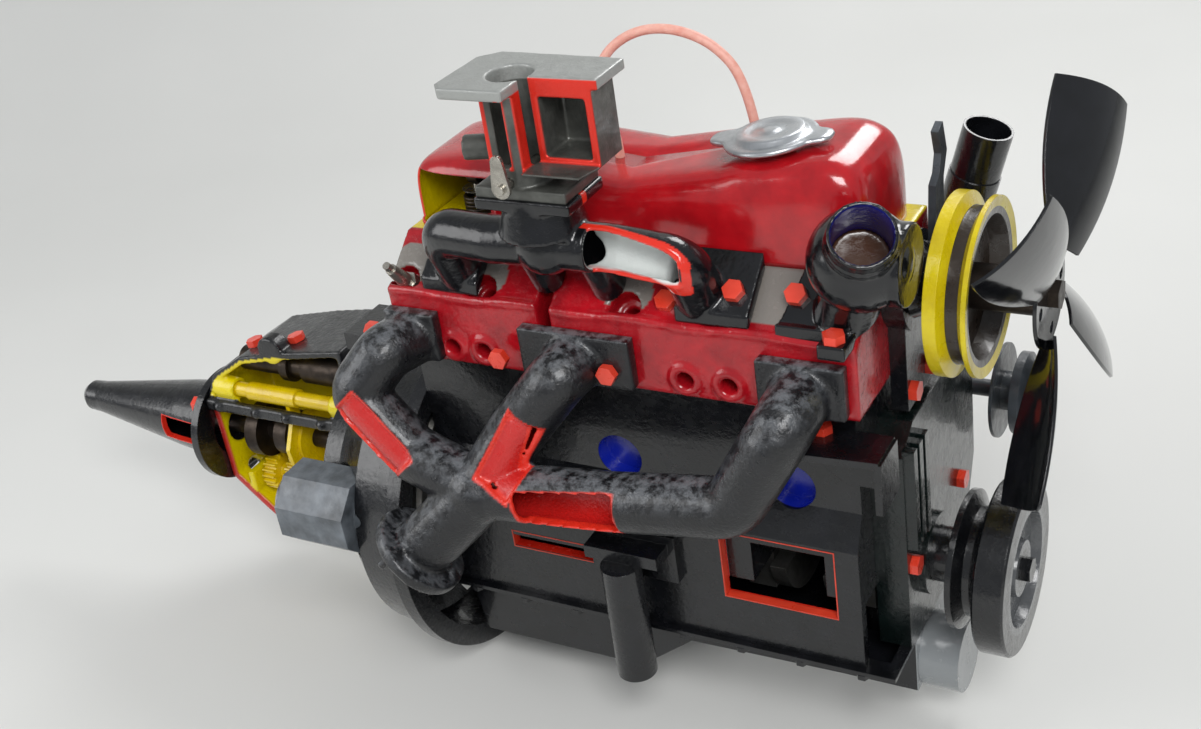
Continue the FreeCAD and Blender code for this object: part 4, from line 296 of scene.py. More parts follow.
finishes = {
    "black enamel on iron": enamel("black_enamel_on_iron", BLACK, BLACK_DEEP),
    "block enamel": enamel("black_enamel_with_painted_cuts", BLACK, BLACK_DEEP,
                           patches=[BLOCK_WINDOW, BLOCK_SLIT, *CORE_HOLES]),
    "sump enamel": enamel("black_enamel_on_pressed_steel", BLACK, BLACK_DEEP, 0.2, 9.0, 0.2,
                          patches=[((226, -60, -160), (300, 60, -70), "8d9193")]),
    "tail enamel": enamel("black_enamel_with_sawn_window", BLACK, BLACK_DEEP, patches=[TAIL_WINDOW]),
    "green-black enamel": enamel("green_black_enamel", "101a19", "080d0d"),
    "yellow enamel": enamel("yellow_enamel", "e2c400", "c9a800", 0.25),
    "pulley enamel": enamel("yellow_enamel_with_bare_groove", "e3cf10", "cdb400", 0.3, rings=[
        (0, 262, 0, 61.5, 200, 300, "2a2018")]),
    "orange enamel": enamel("orange_enamel_on_bolt_heads", "ee4a33", "d93622", 0.3, 6.0, 0.2),
    "crank pulley enamel": enamel("black_enamel_with_grey_face", "121316", BLACK_DEEP, rings=[
        (0, 0, 16, 56, 300, 330, "56585a")]),
    "grey enamel": enamel("grey_blue_enamel", "4a5056", "33373b", 0.35),
    "starter enamel": enamel("starter_grey_enamel", "6d747b", "3b4045", 0.4),
    "fan enamel": enamel("black_enamel_on_fan", "141519", "0b0c0e", 0.12, 20.0, 0.15),
    "dull iron": bare_metal("machined_cast_iron", "8a8a88", "6a6863", 0.42),
    "bright steel": bare_metal("turned_steel", "b5b1a8", "8e8a82", 0.28),
    "oily steel": bare_metal("oil_darkened_steel", "4b423b", "2b2623", 0.4),
    "bright aluminium": bare_metal("machined_aluminium", "c9cccf", "a9adb0", 0.3),
    "gasket board": enamel("pressed_gasket_board", "2a2320", "1d1815", 0.7, 2.0, 0.2, coat=0.0),
}
print("finishes:", len(finishes))


# %% [markdown]
# ## Finishes for the frame's own nodes
# A node whose form is already right keeps its mesh and only takes a finish from the table below. The
# moving steel inside the engine is oily, and whatever was machined and left bare is dull iron.

# %% Which node wears which finish
WEARS = {
    "block enamel": ["cylinder_block"],
    "sump enamel": ["oil_pan"],
    "tail enamel": ["extension_housing"],
    "black enamel on iron": ["bellhousing", "sump_bolts", "water_pump_body",
                             "support_posts", "accessory_bracket", "clutch_fork", "coolant_inlet_tube"],
    "green-black enamel": ["timing_cover"],
    "yellow enamel": ["selector_fork", "layshaft"],
    "pulley enamel": ["water_pump_pulley"],
    "orange enamel": ["hex_bolts"],
    "crank pulley enamel": ["crank_pulley"],
    "grey enamel": ["alternator_body", "alternator_pulley", "lifting_eye"],
    "starter enamel": ["starter_motor"],
    "fan enamel": ["fan"],
    "dull iron": ["crankshaft", "camshaft", "main_bearing_caps", "flywheel",
                  *(f"connecting_rod_{n}" for n in (1, 2, 3, 4))],
    "bright steel": ["rear_valve", "valves", "rear_pushrod", "pushrods", "crank_gear", "cam_gear",
                     "release_bearing", "throttle_valve", "spark_plug"],
    "oily steel": ["rocker_shaft", "rear_rocker_arm", "rocker_arms", "input_shaft", "output_shaft", "control_shaft",
                   "pump_shaft"],
    "bright aluminium": [f"piston_{n}" for n in (1, 2, 3, 4)],
    "gasket board": ["head_gasket"],
}


def wear(piece, finish):
    """Gives a piece one finish in place of what it had."""
    piece.data.materials.clear()
    piece.data.materials.append(finish)


for finish_name, node_names in WEARS.items():
    for node_name in node_names:
        wear(nodes[node_name], finishes[finish_name])
print("nodes given a finish:", sum(len(v) for v in WEARS.values()))


# %% [markdown]
# ## Surfaces from numpy
# A new piece is a grid of points worked out at once as an array, and joined into quads. One helper
# makes the mesh from such a grid; it can close the grid round on itself, and it can close the two ends
# with caps.

# %% Grid to mesh
def grid_faces(rows, columns, closed):
    """Quads between neighbouring rows and columns; a closed grid joins its last column to its first."""
    across = np.arange(columns if closed else columns - 1)
    row, column = np.meshgrid(np.arange(rows - 1), across, indexing="ij")
    after = (column + 1) % columns
    return np.stack([row * columns + column, row * columns + after, (row + 1) * columns + after,
                     (row + 1) * columns + column], -1).reshape(-1, 4)


def new_piece(name, points, faces, body, finish=None, smooth=True):
    """A mesh object from an array of places in mm and an array of faces, riding on a body."""
    mesh = bpy.data.meshes.new(name)
    mesh.from_pydata((np.asarray(points).reshape(-1, 3) * MM).tolist(), [], [list(f) for f in faces])
    mesh.update()
    mesh.polygons.foreach_set("use_smooth", [smooth] * len(mesh.polygons))
    piece = bpy.data.objects.new(name, mesh)
    bpy.context.scene.collection.objects.link(piece)
    if finish:
        wear(piece, finish)
    if body:
        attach(piece, body)
    return piece


def sweep(path, radius, sides=16, closed_ends=True):
    """A round bar along a path in mm. The ring's two directions turn with the path, so it never twists."""
    path = np.asarray(path, float)
    along = np.gradient(path, axis=0)
    along /= np.linalg.norm(along, axis=1)[:, None]
    across = np.zeros_like(along)
    start = np.cross(along[0], (0.1, 0.2, 1.0))
    across[0] = start / np.linalg.norm(start)
    for k in range(1, len(path)):
        side = across[k - 1] - along[k] * np.dot(across[k - 1], along[k])
        across[k] = side / np.linalg.norm(side)
    up = np.cross(along, across)
    angle = np.linspace(0, 2 * np.pi, sides, endpoint=False)
    radii = np.broadcast_to(np.asarray(radius, float), (len(path),))[:, None, None]
    ring = np.cos(angle)[None, :, None] * across[:, None] + np.sin(angle)[None, :, None] * up[:, None]
    points = path[:, None] + radii * ring
    faces = [tuple(f) for f in grid_faces(len(path), sides, True)]
    if closed_ends:
        faces.append(tuple(range(sides - 1, -1, -1)))
        faces.append(tuple((len(path) - 1) * sides + k for k in range(sides)))
    return points.reshape(-1, 3), faces


def merge(parts):
    """Several (points, faces) pairs as one."""
    points, faces, start = [], [], 0
    for part_points, part_faces in parts:
        points.append(np.asarray(part_points).reshape(-1, 3))
        faces += [tuple(int(i) + start for i in face) for face in part_faces]
        start += len(points[-1])
    return np.concatenate(points), faces


# %% [markdown]
# ## Sand castings
# A sand casting has no sharp edge anywhere: the sand crumbles, and thick paint rounds what is left. So
# the castings that face the eye are made again from a copy of their own solid: the copy is merged,
# given new even faces by a voxel remesh, and smoothed a few steps. Each point then gets its coat of
# paint from its distance to the pipes and rooms inside.

# %% A softened copy of a node
def sawing_block(middle, heading, half):
    """A box round a place in mm, with its first side along a heading in the XZ plane and half its sides given."""
    heading = np.array(heading, float) / np.linalg.norm(heading)
    sides = np.stack([heading, (0, 1.0, 0), np.cross(heading, (0, 1.0, 0))])
    corners = np.array([(a, b, c) for a in (-1, 1) for b in (-1, 1) for c in (-1, 1)]) * half
    faces = ((0, 1, 3, 2), (4, 6, 7, 5), (0, 4, 5, 1), (2, 3, 7, 6), (0, 2, 6, 4), (1, 5, 7, 3))
    return np.array(middle) + corners @ sides, faces


def softened(node_name, piece_name, body, voxel_mm, steps, extras=(), sawn=(), anew=False):
    """The node's solid, with any extra closed forms joined in and sawing blocks taken out, as one even mesh
    with rounded edges. Drawn anew, only the extra forms count, and they are united before the sawing."""
    mesh = bpy.data.meshes.new(piece_name + "_raw")
    shape = bmesh.new()
    if not anew:
        shape.from_mesh(nodes[node_name].data)
        bmesh.ops.remove_doubles(shape, verts=shape.verts, dist=2e-6)
    for points, faces in extras:
        corners = [shape.verts.new(p) for p in (np.asarray(points) * MM).tolist()]
        for face in faces:
            shape.faces.new([corners[int(i)] for i in face])
    shape.to_mesh(mesh)
    shape.free()
    raw = bpy.data.objects.new(piece_name + "_raw", mesh)
    bpy.context.scene.collection.objects.link(raw)
    if anew:
        united = raw.modifiers.new("united", "REMESH")
        united.mode, united.voxel_size = "VOXEL", voxel_mm * MM
    blocks = []
    for points, faces in sawn:
        blocks.append(new_piece(piece_name + "_block", points, faces, None, smooth=False))
        saw = raw.modifiers.new("saw", "BOOLEAN")
        saw.operation, saw.solver, saw.object = "DIFFERENCE", "EXACT", blocks[-1]
    even = raw.modifiers.new("even", "REMESH")
    even.mode, even.voxel_size = "VOXEL", voxel_mm * MM
    soft = raw.modifiers.new("soft", "SMOOTH")
    soft.factor, soft.iterations = 0.5, steps
    graph = bpy.context.evaluated_depsgraph_get()
    final = bpy.data.meshes.new_from_object(raw.evaluated_get(graph), depsgraph=graph)
    for helper in (raw, *blocks):
        bpy.data.objects.remove(helper)
    final.polygons.foreach_set("use_smooth", [True] * len(final.polygons))
    piece = bpy.data.objects.new(piece_name, final)
    bpy.context.scene.collection.objects.link(piece)
    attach(piece, body)
    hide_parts(node_name)
    print(piece_name, "faces:", len(final.polygons))
    return piece


def places(piece):
    """All points of a piece as an array in mm."""
    flat = np.zeros(len(piece.data.vertices) * 3, np.float32)
    piece.data.vertices.foreach_get("co", flat)
    return flat.reshape(-1, 3) * 1000.0


def set_mask(piece, name, values):
    """Stores one number a point, from 0 to 1, for the finish to read."""
    layer = piece.data.attributes.new(name, "FLOAT", "POINT")
    layer.data.foreach_set("value", np.clip(np.asarray(values, np.float32), 0, 1))


def distance_to_line(points, path):
    """Shortest distance from each point to a path of straight runs, in mm."""
    best = np.full(len(points), 1e9)
    for a, b in zip(np.asarray(path[:-1], float), np.asarray(path[1:], float)):
        along = np.clip(((points - a) @ (b - a)) / np.dot(b - a, b - a), 0, 1)
        best = np.minimum(best, np.linalg.norm(points - (a + along[:, None] * (b - a)), axis=1))
    return best


def ramp(values, zero, one):
    """0 at the first value, 1 at the second, straight between."""
    return np.clip((values - zero) / (one - zero), 0, 1)


# %% [markdown]
# ## Exhaust manifold
# Three cast branches run into one junction and a flanged outlet. It is the roughest casting on the
# engine: black enamel that goes grey on its up-facing crowns, partly as rubbed paint and partly as a
# painted highlight, and red inside its three sawn windows.

# %% Exhaust manifold
PORT_Z = 210.2
JUNCTION = (-106, -158, 103)
OUTLET = (-172, -182, 37)
EXHAUST_PATHS = (
    (((-186, -95, PORT_Z), (-198, -132, PORT_Z), (-222, -152, 178), (-174, -154, 126), JUNCTION), 16),
    (((-24, -95, PORT_Z), (-30, -126, PORT_Z - 4), (-76, -138, 150), JUNCTION), 14),
    (((172, -95, PORT_Z), (172, -144, PORT_Z - 6), (128, -152, 128), (20, -152, 112), JUNCTION), 30),
    ((JUNCTION, OUTLET), 1),
)
WINDOWS = (
    ((-198, -184, 150), (-1, 0, 1.1), (38, 20, 17.5)),
    ((-66, -168, 148), (0.55, 0, 1), (33, 18, 17.5)),
    ((-14, -180, 108), (1, 0, 0.12), (46, 19, 17.5)),
)


def rounded_path(path, bend):
    """A path whose corners are quadratic curves: each starts and ends at bend * tan(half the turn) away."""
    path = np.asarray(path, float)
    line = [path[:1]]
    for before, corner, after in zip(path, path[1:], path[2:]):
        run_in, run_out = np.linalg.norm(before - corner), np.linalg.norm(after - corner)
        back, ahead = (before - corner) / run_in, (after - corner) / run_out
        turn = np.pi - np.arccos(np.clip(back @ ahead, -1, 1))
        reach = min(bend * np.tan(turn / 2), 0.49 * run_in, 0.49 * run_out)
        start, end = corner + back * reach, corner + ahead * reach
        t = np.linspace(0, 1, 7)[:, None]
        line.append((1 - t) ** 2 * start + 2 * t * (1 - t) * corner + t ** 2 * end)
    return np.concatenate([*line, path[-1:]])


RADIUS, BORE = 25.0, 20.0
down = np.array(OUTLET, float) - JUNCTION
down /= np.linalg.norm(down)
turn = np.linspace(0.03, np.pi - 0.03, 24)
BALL_RADIUS = 30
ball_axis = np.array(JUNCTION) + np.stack([-BALL_RADIUS * np.cos(turn), 0 * turn, 0 * turn], -1)
ball = sweep(ball_axis, BALL_RADIUS * np.sin(turn), 32)
flange = sweep([OUTLET - down * 11, OUTLET], 44, 48)
ports = [sawing_block((x, -101, PORT_Z + 3), (1, 0, 0), (half, 6, 23))
         for x, half in ((-186, 26), (-24, 52), (172, 36))]
tilt = Vector((0, 0, 1)).rotation_difference(Vector(down))
across, beside = np.array(tilt @ Vector((1, 0, 0))), np.array(tilt @ Vector((0, 1, 0)))
studs = []
for angle in np.radians((90, 210, 330)):
    foot = OUTLET + 34 * (np.cos(angle) * across + np.sin(angle) * beside)
    studs.append(sweep([foot - down * 14, foot + down * 14], 4, 16))
outsides = [sweep(rounded_path(path, bend), RADIUS, 40) for path, bend in EXHAUST_PATHS[:3]]
outsides += [sweep([JUNCTION, OUTLET], RADIUS + 3, 40), ball, flange, *ports, *studs]
bores = []
for path, bend in EXHAUST_PATHS[:3]:
    line = rounded_path(path, bend)
    line[0] += (line[1] - line[0]) * 8 / np.linalg.norm(line[1] - line[0])
    bores.append(sweep(line, BORE, 36))
bores.append(sweep([JUNCTION, OUTLET + down * 5], BORE + 2, 36))
exhaust = softened("exhaust_manifold", "exhaust_casting", "engine", 1.9, 3, outsides, anew=True,
                   sawn=bores + [sawing_block(*window) for window in WINDOWS])
spots = places(exhaust)
depth = np.minimum.reduce([distance_to_line(spots, rounded_path(path, bend)) for path, bend in EXHAUST_PATHS])
edge = np.zeros(len(spots))
for middle, heading, half in WINDOWS:
    heading = np.array(heading) / np.linalg.norm(heading)
    sides = np.stack([heading, (0, 1.0, 0), np.cross((0, 1.0, 0), heading)], 1)
    off_block = np.max(np.abs((spots - np.array(middle)) @ sides) - half, axis=1)
    edge = np.maximum(edge, ramp(np.abs(off_block), 2.2, 1.4))
set_mask(exhaust, "coat", ramp(depth, 22.9, 22.1))
set_mask(exhaust, "edge", edge)
# Up-facing points get grey paint: partly rubbed enamel, partly a painted highlight where the overhead lamps fall on
# the crowns.
normals = np.zeros(len(spots) * 3, np.float32)
exhaust.data.vertices.foreach_get("normal", normals)
set_mask(exhaust, "wear", ramp(normals.reshape(-1, 3)[:, 2], 0.2, 0.95) * 0.8)
wear(exhaust, coated("worn_enamel_with_painted_top_highlight_on_rough_iron", BLACK, "0d0e10", "c21f1c", CUT_RED, 0.3, 3.0, 0.7, wear_and_sheen_paint="6f7276"))


# %% [markdown]
# ## Intake manifold
# A glossy black casting with a riser for the carburettor. The front runner is sawn open along its
# side; its wall shows a red edge and its bore was painted nearly white.

# %% Intake manifold
intake = softened("intake_manifold", "intake_casting", "engine", 1.7, 3)
spots = places(intake)
RUNNER = ((-32, -104, 318), (14, -104, 318), (34, -102, 317), (62, -98, 312), (76, -93, 300), (82, -78, 272))
depth = distance_to_line(spots, RUNNER)
opened = (spots[:, 0] > 4) & (spots[:, 0] < 92) & (spots[:, 2] > 285)
set_mask(intake, "coat", np.where(opened, ramp(depth, 17.4, 16.6), 0))
sawn = opened & (spots[:, 1] < -104) & (spots[:, 1] > -110.5)
set_mask(intake, "edge", np.where(sawn, ramp(depth, 15.5, 17.0), 0))
wear(intake, coated("gloss_enamel_on_intake", "141519", "0b0c0e", "d9dedb", CUT_RED, 0.16, 6.0, 0.35))


# %% [markdown]
# ## Carburettor
# Die-cast zinc goes a dull brownish grey. The body is sawn open at the near corner down to its throat,
# and the sawn walls are edged in red.

# %% Carburettor
CARB = np.array((-32.0, -104.0, 366.0))
FRONT_CUT = -6.0
carburettor = softened("carburettor_body", "carburettor_casting", "engine", 1.2, 3, sawn=[
    sawing_block(CARB + (46, -46 + FRONT_CUT + 6, 64), (1, 0, 0), (40, 40, 40)),
])
spots = places(carburettor)
local = spots - CARB
first, corner, last = np.array((6, -60)), np.array((-8, -8)), np.array((-60, -20))


def off_line(points, a, b):
    """Signed distance of points in the XY plane from the line through a and b."""
    d = (b - a) / np.linalg.norm(b - a)
    return (points[:, 0] - a[0]) * d[1] - (points[:, 1] - a[1]) * d[0]


beside = np.minimum(np.abs(off_line(local, first, corner)), np.abs(off_line(local, corner, last)))
high = (local[:, 2] > 24) & (local[:, 2] < 84) & (local[:, 1] < 2) & (local[:, 0] < 10)
left_edge = np.where(high & (np.linalg.norm(local[:, :2] - (-8, 0), axis=1) > 24), ramp(beside, 2.2, 1.2), 0)
before_front = (local[:, 0] > 4) & (local[:, 2] > 23) & (local[:, 2] < 91)
front_face = np.where(before_front, ramp(np.abs(local[:, 1] - FRONT_CUT), 1.7, 1.0), 0)
before_side = (local[:, 1] < FRONT_CUT) & (local[:, 2] > 23) & (local[:, 2] < 84)
side_face = np.where(before_side, ramp(np.abs(local[:, 0] - 6), 1.7, 1.0), 0)
set_mask(carburettor, "coat", np.where(local[:, 2] > 81, 1, 0))
set_mask(carburettor, "edge", np.maximum.reduce([left_edge, front_face, side_face]))
wear(carburettor, coated("zinc_die_casting", "6a6b66", "474844", "a3a5a2", CUT_RED, 0.45, 3.0, 0.25, metallic=0.5))


# %% [markdown]
# ## Thermostat housing
# A round black bulb on a bolted foot. Its open spout is painted blue inside, and the brown disc of the
# thermostat shows at the bottom of it.

# %% Thermostat housing
thermostat = softened("thermostat_housing", "thermostat_casting", "engine", 1.4, 2)
spots = places(thermostat)
centre = np.array((220, -88, 322.2))
spout = np.array((0.3, -0.62, 0.72))
spout /= np.linalg.norm(spout)
along = (spots - centre) @ spout
out = np.linalg.norm(spots - centre - along[:, None] * spout, axis=1)
set_mask(thermostat, "coat", np.where(along > 4, ramp(out, 22.4, 21.8), 0))
set_mask(thermostat, "edge", np.where((np.abs(along + 0.5) < 4) & (out < 21.6), 1, 0))
wear(thermostat, coated("gloss_enamel_on_thermostat", "121317", "0a0b0d", BLUE, "4a2f1f", 0.14, 8.0, 0.3))


# %% [markdown]
# ## Cylinder head
# Deep red enamel, with the inclined ledge left bare where it was machined and round the plug wells.
# The casting's near side has raised rings round its holes and a rounded bead along the ledge, so those
# are joined to the copy before it is softened.

# %% Cylinder head
LEDGE_LOW, LEDGE_HIGH = np.array((-95.0, 250.2)), np.array((-51.0, 287.2))
WELLS = (-196, -118, 18, 100)


def facing_ring(x, z, inner, outer, proud, sides=40):
    """A raised ring on the near face: a closed band with an open middle."""
    angle = np.linspace(0, 2 * np.pi, sides, endpoint=False)
    section = ((inner, -93.0), (inner, -95 - proud), (outer - 1.5, -95 - proud), (outer + 1.5, -93.0))
    points = np.array([[(x + r * math.cos(a), y, z + r * math.sin(a)) for r, y in section] for a in angle])
    faces = []
    for k in range(sides):
        for s in range(4):
            a, b = k * 4 + s, k * 4 + (s + 1) % 4
            c, d = ((k + 1) % sides) * 4 + (s + 1) % 4, ((k + 1) % sides) * 4 + s
            faces.append((a, b, c, d))
    return points.reshape(-1, 3), faces


rings = [facing_ring(x, 202.2, 7.6, 15, 3.2) for x in (-152, -120, 70, 108)]
beads = []
for start, end in ((-210, -64), (-48, 213)):
    path = np.stack([np.linspace(start, end, 60), np.full(60, -92.5), np.full(60, 249.6)], -1)
    path[:, 2] += 1.2 * np.sin(path[:, 0] / 17.0)
    beads.append(sweep(path, 4.2, 14))
head = softened("cylinder_head", "head_casting", "engine", 2.1, 3, rings + beads)
spots = places(head)
run = LEDGE_HIGH - LEDGE_LOW
run /= np.linalg.norm(run)
ledge_off = (spots[:, 1] - LEDGE_LOW[0]) * run[1] - (spots[:, 2] - LEDGE_LOW[1]) * run[0]
on_ledge = (np.abs(ledge_off) < 2.2) & (spots[:, 1] > -86) & (spots[:, 1] < -49)
well_far = np.min([np.hypot(spots[:, 0] - x, (spots[:, 1] + 76) * 1.3) for x in WELLS], axis=0)
bare = on_ledge & ((spots[:, 0] > 64) & (spots[:, 0] < 206))
rim = on_ledge & (well_far < 21.5)
under_cover = (spots[:, 2] > 285.6) & (spots[:, 1] > -47)
set_mask(head, "coat", np.where(bare | rim, 1, 0))
set_mask(head, "edge", np.where(under_cover, 1, 0))
wear(head, coated("red_enamel_with_machined_ledge", RED, RED_DEEP, "7f7a74", YELLOW, 0.2, 7.0, 0.5))


# %% [markdown]
# ## Gearbox case
# The near half of the case is sawn away at one plane, so the gears can be seen. The room is painted
# yellow, the rim of the lower half orange-red, and a black bar with studs runs along the joint. The
# finish needs to know how deep a point lies in the wall, so it is measured from the case's outline.

# %% Gearbox case
BELL_REAR, BOX_REAR, BOX_TOP, BOX_BOTTOM, BOX_CUT = -345, -540, 116, -96, -28
CASE_OUTLINE = np.array((
    (BELL_REAR, BOX_BOTTOM - 6), (BELL_REAR, BOX_TOP + 14), (BELL_REAR - 74, BOX_TOP + 2),
    (BOX_REAR + 58, BOX_TOP - 12), (BOX_REAR + 14, 76), (BOX_REAR, 52), (BOX_REAR, -54),
    (BOX_REAR + 44, BOX_BOTTOM), (BOX_REAR + 70, BOX_BOTTOM - 8),
    (BOX_REAR + 90, BOX_BOTTOM + 8), (BELL_REAR, BOX_BOTTOM - 6)), float)
BAR_STUDS = (-520, -470, -430, -385)
studs = [sweep([(x, -35, 43.5), (x, -40.5, 43.5), (x, -41.5, 43.5)], (4.2, 4.2, 3.0), 14) for x in BAR_STUDS]
ear = sweep([(-438, -27.5, 117), (-438, -10, 117)], 15, 24)
case = softened("gearbox_case", "gearbox_casting", "engine", 2.1, 3, [*studs, ear])
spots = places(case)
flat = np.stack([spots[:, 0], np.zeros(len(spots)), spots[:, 2]], -1)
rim = np.stack([CASE_OUTLINE[:, 0], np.zeros(len(CASE_OUTLINE)), CASE_OUTLINE[:, 1]], -1)
in_wall = distance_to_line(flat, rim)
on_bar = (spots[:, 1] < BOX_CUT - 1.6) & (spots[:, 2] > 34) & (spots[:, 2] < 53)
room = (in_wall > 3.6) & (spots[:, 1] < 62.5) & (spots[:, 2] < 112) & ~on_bar
set_mask(case, "coat", room)
lower_rim = (spots[:, 2] < 34) & (in_wall < 9)
set_mask(case, "edge", np.where(lower_rim, ramp(np.abs(spots[:, 1] - BOX_CUT), 2.4, 1.6), 0))
wear(case, coated("worn_enamel_on_gearbox_casting", "1d1e21", BLACK_DEEP, YELLOW, "b8261c", 0.28, 5.0, 0.5))


# %% [markdown]
# ## Rocker cover
# A lid pressed from thin sheet: it rises from a straight foot, turns over a soft shoulder, and its top
# follows the gear below, low in the middle and tall at the front under the filler cap. One formula
# does it all. A ring round the foot is drawn in towards a spine while it climbs, like a loaf, and the
# height it climbs to depends on where it is along the engine.

# %% Rocker cover sheet
FOOT, COVER_X, COVER_NEAR, COVER_FAR = 287.2, 206.0, -49.0, 76.0


def cover_height(x):
    """Height of the lid's top above its foot, eased between a few stations along the engine."""
    stations = np.array((-206, -150, -78, -50, 30, 76, 112, 172, 206), float)
    heights = np.array((60, 65, 65, 55.5, 55.5, 69, 77, 83.5, 78), float)
    k = np.clip(np.searchsorted(stations, x) - 1, 0, len(stations) - 2)
    t = np.clip((x - stations[k]) / (stations[k + 1] - stations[k]), 0, 1)
    return heights[k] + (heights[k + 1] - heights[k]) * t * t * (3 - 2 * t)


def cover_points(around, up):
    """A rounded rectangle at the foot, drawn in to a spine by a superellipse as it climbs."""
    half_long, half_wide = COVER_X, (COVER_FAR - COVER_NEAR) / 2
    middle_y = (COVER_FAR + COVER_NEAR) / 2
    a = np.linspace(0, 2 * np.pi, around, endpoint=False)
    squareness = 0.22
    ring_x = half_long * np.sign(np.cos(a)) * np.abs(np.cos(a)) ** squareness
    ring_y = half_wide * np.sign(np.sin(a)) * np.abs(np.sin(a)) ** squareness
    t = np.linspace(0, np.pi / 2, up)
    drawn = np.cos(t) ** 0.27
    climb = np.sin(t) ** 0.5
    spine = np.clip(ring_x, -half_long + 52, half_long - 52)
    x = spine[None] + (ring_x - spine)[None] * drawn[:, None]
    y = middle_y + ring_y[None] * drawn[:, None]
    z = FOOT + cover_height(x) * climb[:, None]
    return np.stack([x, y, z], -1)


lid = cover_points(280, 44)
rocker_cover = new_piece("rocker_cover_lid", lid, grid_faces(44, 280, True), "engine")
OPENING = ((-120.0, (1, 0, 0)), (-31.0, (0, 1, 0)), (FOOT + 4, (0, 0, 1)), (FOOT + 52, (0, 0, 1)))
shape = bmesh.new()
shape.from_mesh(rocker_cover.data)
for distance, normal in OPENING:
    bmesh.ops.bisect_plane(shape, geom=shape.verts[:] + shape.edges[:] + shape.faces[:], dist=1e-6,
                           plane_co=Vector(normal) * distance * MM, plane_no=Vector(normal))
gone = [f for f in shape.faces
        if (c := f.calc_center_median() * 1000).x < -120 and c.y < -31 and FOOT + 4 < c.z < FOOT + 52]
bmesh.ops.delete(shape, geom=gone, context="FACES")
bmesh.ops.remove_doubles(shape, verts=shape.verts, dist=1e-5)
bmesh.ops.recalc_face_normals(shape, faces=shape.faces)
if sum(f.normal.z * f.calc_area() for f in shape.faces) < 0:
    bmesh.ops.reverse_faces(shape, faces=shape.faces)
shape.to_mesh(rocker_cover.data)
shape.free()
rocker_cover.data.polygons.foreach_set("use_smooth", [True] * len(rocker_cover.data.polygons))
rocker_cover.data.materials.append(enamel("red_enamel_on_pressed_lid", "c4161f", "a01019", 0.16, 14.0, 0.25))
rocker_cover.data.materials.append(enamel("yellow_enamel_inside_lid", YELLOW, "c8b400", 0.3))
rocker_cover.data.materials.append(enamel("orange_red_sawn_edge", "e8452a", "d2351f", 0.35))
wall = rocker_cover.modifiers.new("sheet", "SOLIDIFY")
wall.thickness, wall.offset = 2.2 * MM, -1
wall.material_offset, wall.material_offset_rim = 1, 2
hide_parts("rocker_cover")
print("cover faces:", len(rocker_cover.data.polygons))


# %% [markdown]
# ## Oil filler cap
# A pressed aluminium cap with two ears to turn it by. Its outline is a circle that swells out at the
# ears, and its face has a raised ring and a shallow dish. It is a polar grid: the outline grows with
# the radius, the height depends on how far in the ring is.

# %% Oil filler cap
CAP = np.array((120.0, 0.0, 370.6))
CAP_TILT = math.radians(5)


def cap_points(sides=96):
    """Rings from the neck's foot, out under the rim, over it and in to the middle."""
    angle = np.linspace(0, 2 * np.pi, sides, endpoint=False)
    ear = np.exp(-((np.mod(angle + np.pi / 2, np.pi) - np.pi / 2) / 0.30) ** 4)
    # Each ring is its radius, its height and how much of the ears' swelling it takes.
    rings = np.array((
        (0.01, -30, 0), (16.0, -30, 0), (16.4, -29, 0), (16.4, 0.0, 0), (30, 0.0, 0), (37, 0.6, 1), (38, 2.4, 1),
        (37, 4.6, 1), (34.5, 5.0, 0.75), (31, 5.0, 0.3), (29, 5.6, 0), (27.5, 8.8, 0), (26, 9.6, 0),
        (20, 9.4, 0), (17, 8.2, 0), (9, 8.0, 0), (7, 9.2, 0), (4, 9.6, 0), (0.01, 9.7, 0)))
    radius = rings[:, 0, None] + rings[:, 2, None] * 13.0 * ear[None]
    height = np.broadcast_to(rings[:, 1, None], radius.shape)
    flat = np.stack([radius * np.cos(angle), radius * np.sin(angle), height], -1)
    c, s = math.cos(CAP_TILT), math.sin(CAP_TILT)
    tilt = np.array(((c, 0, s), (0, 1, 0), (-s, 0, c)))
    return flat @ tilt + CAP


cap_grid = cap_points()
cap = new_piece("oil_filler_cap_pressing", cap_grid, grid_faces(len(cap_grid), 96, True), "filler_cap")
shape = bmesh.new()
shape.from_mesh(cap.data)
bmesh.ops.remove_doubles(shape, verts=shape.verts, dist=2e-5)
shape.to_mesh(cap.data)
shape.free()
wear(cap, bare_metal("pressed_aluminium", "d5d7da", "b6babd", 0.34, grain_mm=3.0))
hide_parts("oil_filler_cap")


# %% [markdown]
# ## Valve springs
# The frame keeps each spring as a ringed sleeve, because a plain form is enough for motion. The eye
# expects wire, so each spring is drawn here as a round bar swept along a helix. The rear valve can be
# worked, so its spring is a piece of its own with its own copy of the mesh.

# %% Valve springs
def spring_path(x, y, low, high, radius, turns, steps=150):
    """A helix whose pitch closes up over the first and last turn, so its ends sit flat."""
    t = np.linspace(0, 1, steps)
    climb = t - 0.10 * np.sin(2 * np.pi * t) / (2 * np.pi)
    angle = 2 * np.pi * turns * t
    return np.stack([x + radius * np.cos(angle), y + radius * np.sin(angle), low + (high - low) * climb], -1)


VALVES = [92 * place + side * 20 for place in (1.5, 0.5, -0.5, -1.5) for side in (1, -1)]
spring_low, spring_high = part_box("valve_springs")[0].z * 1000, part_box("valve_springs")[1].z * 1000
coils = [sweep(spring_path(x, -8, spring_low + 1.8, spring_high - 1.8, 12.6, 5), 1.7, 10) for x in VALVES]
springs = new_piece("valve_spring_coils", *merge(coils[:-1]), "engine", finishes["oily steel"])
rear_spring = new_piece("rear_valve_spring_coil", *coils[-1], "engine", finishes["oily steel"])
for spring in (springs, rear_spring):
    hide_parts("valve_springs")
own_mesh(rear_spring)


# %% [markdown]
# ## Breather hose
# A thin pink rubber hose leaves the middle of the rocker cover, bows up and goes back in beside the
# filler cap. It is held at both ends and springs up between them. Its line is a smooth spline, and the
# round section comes from the curve's own bevel.

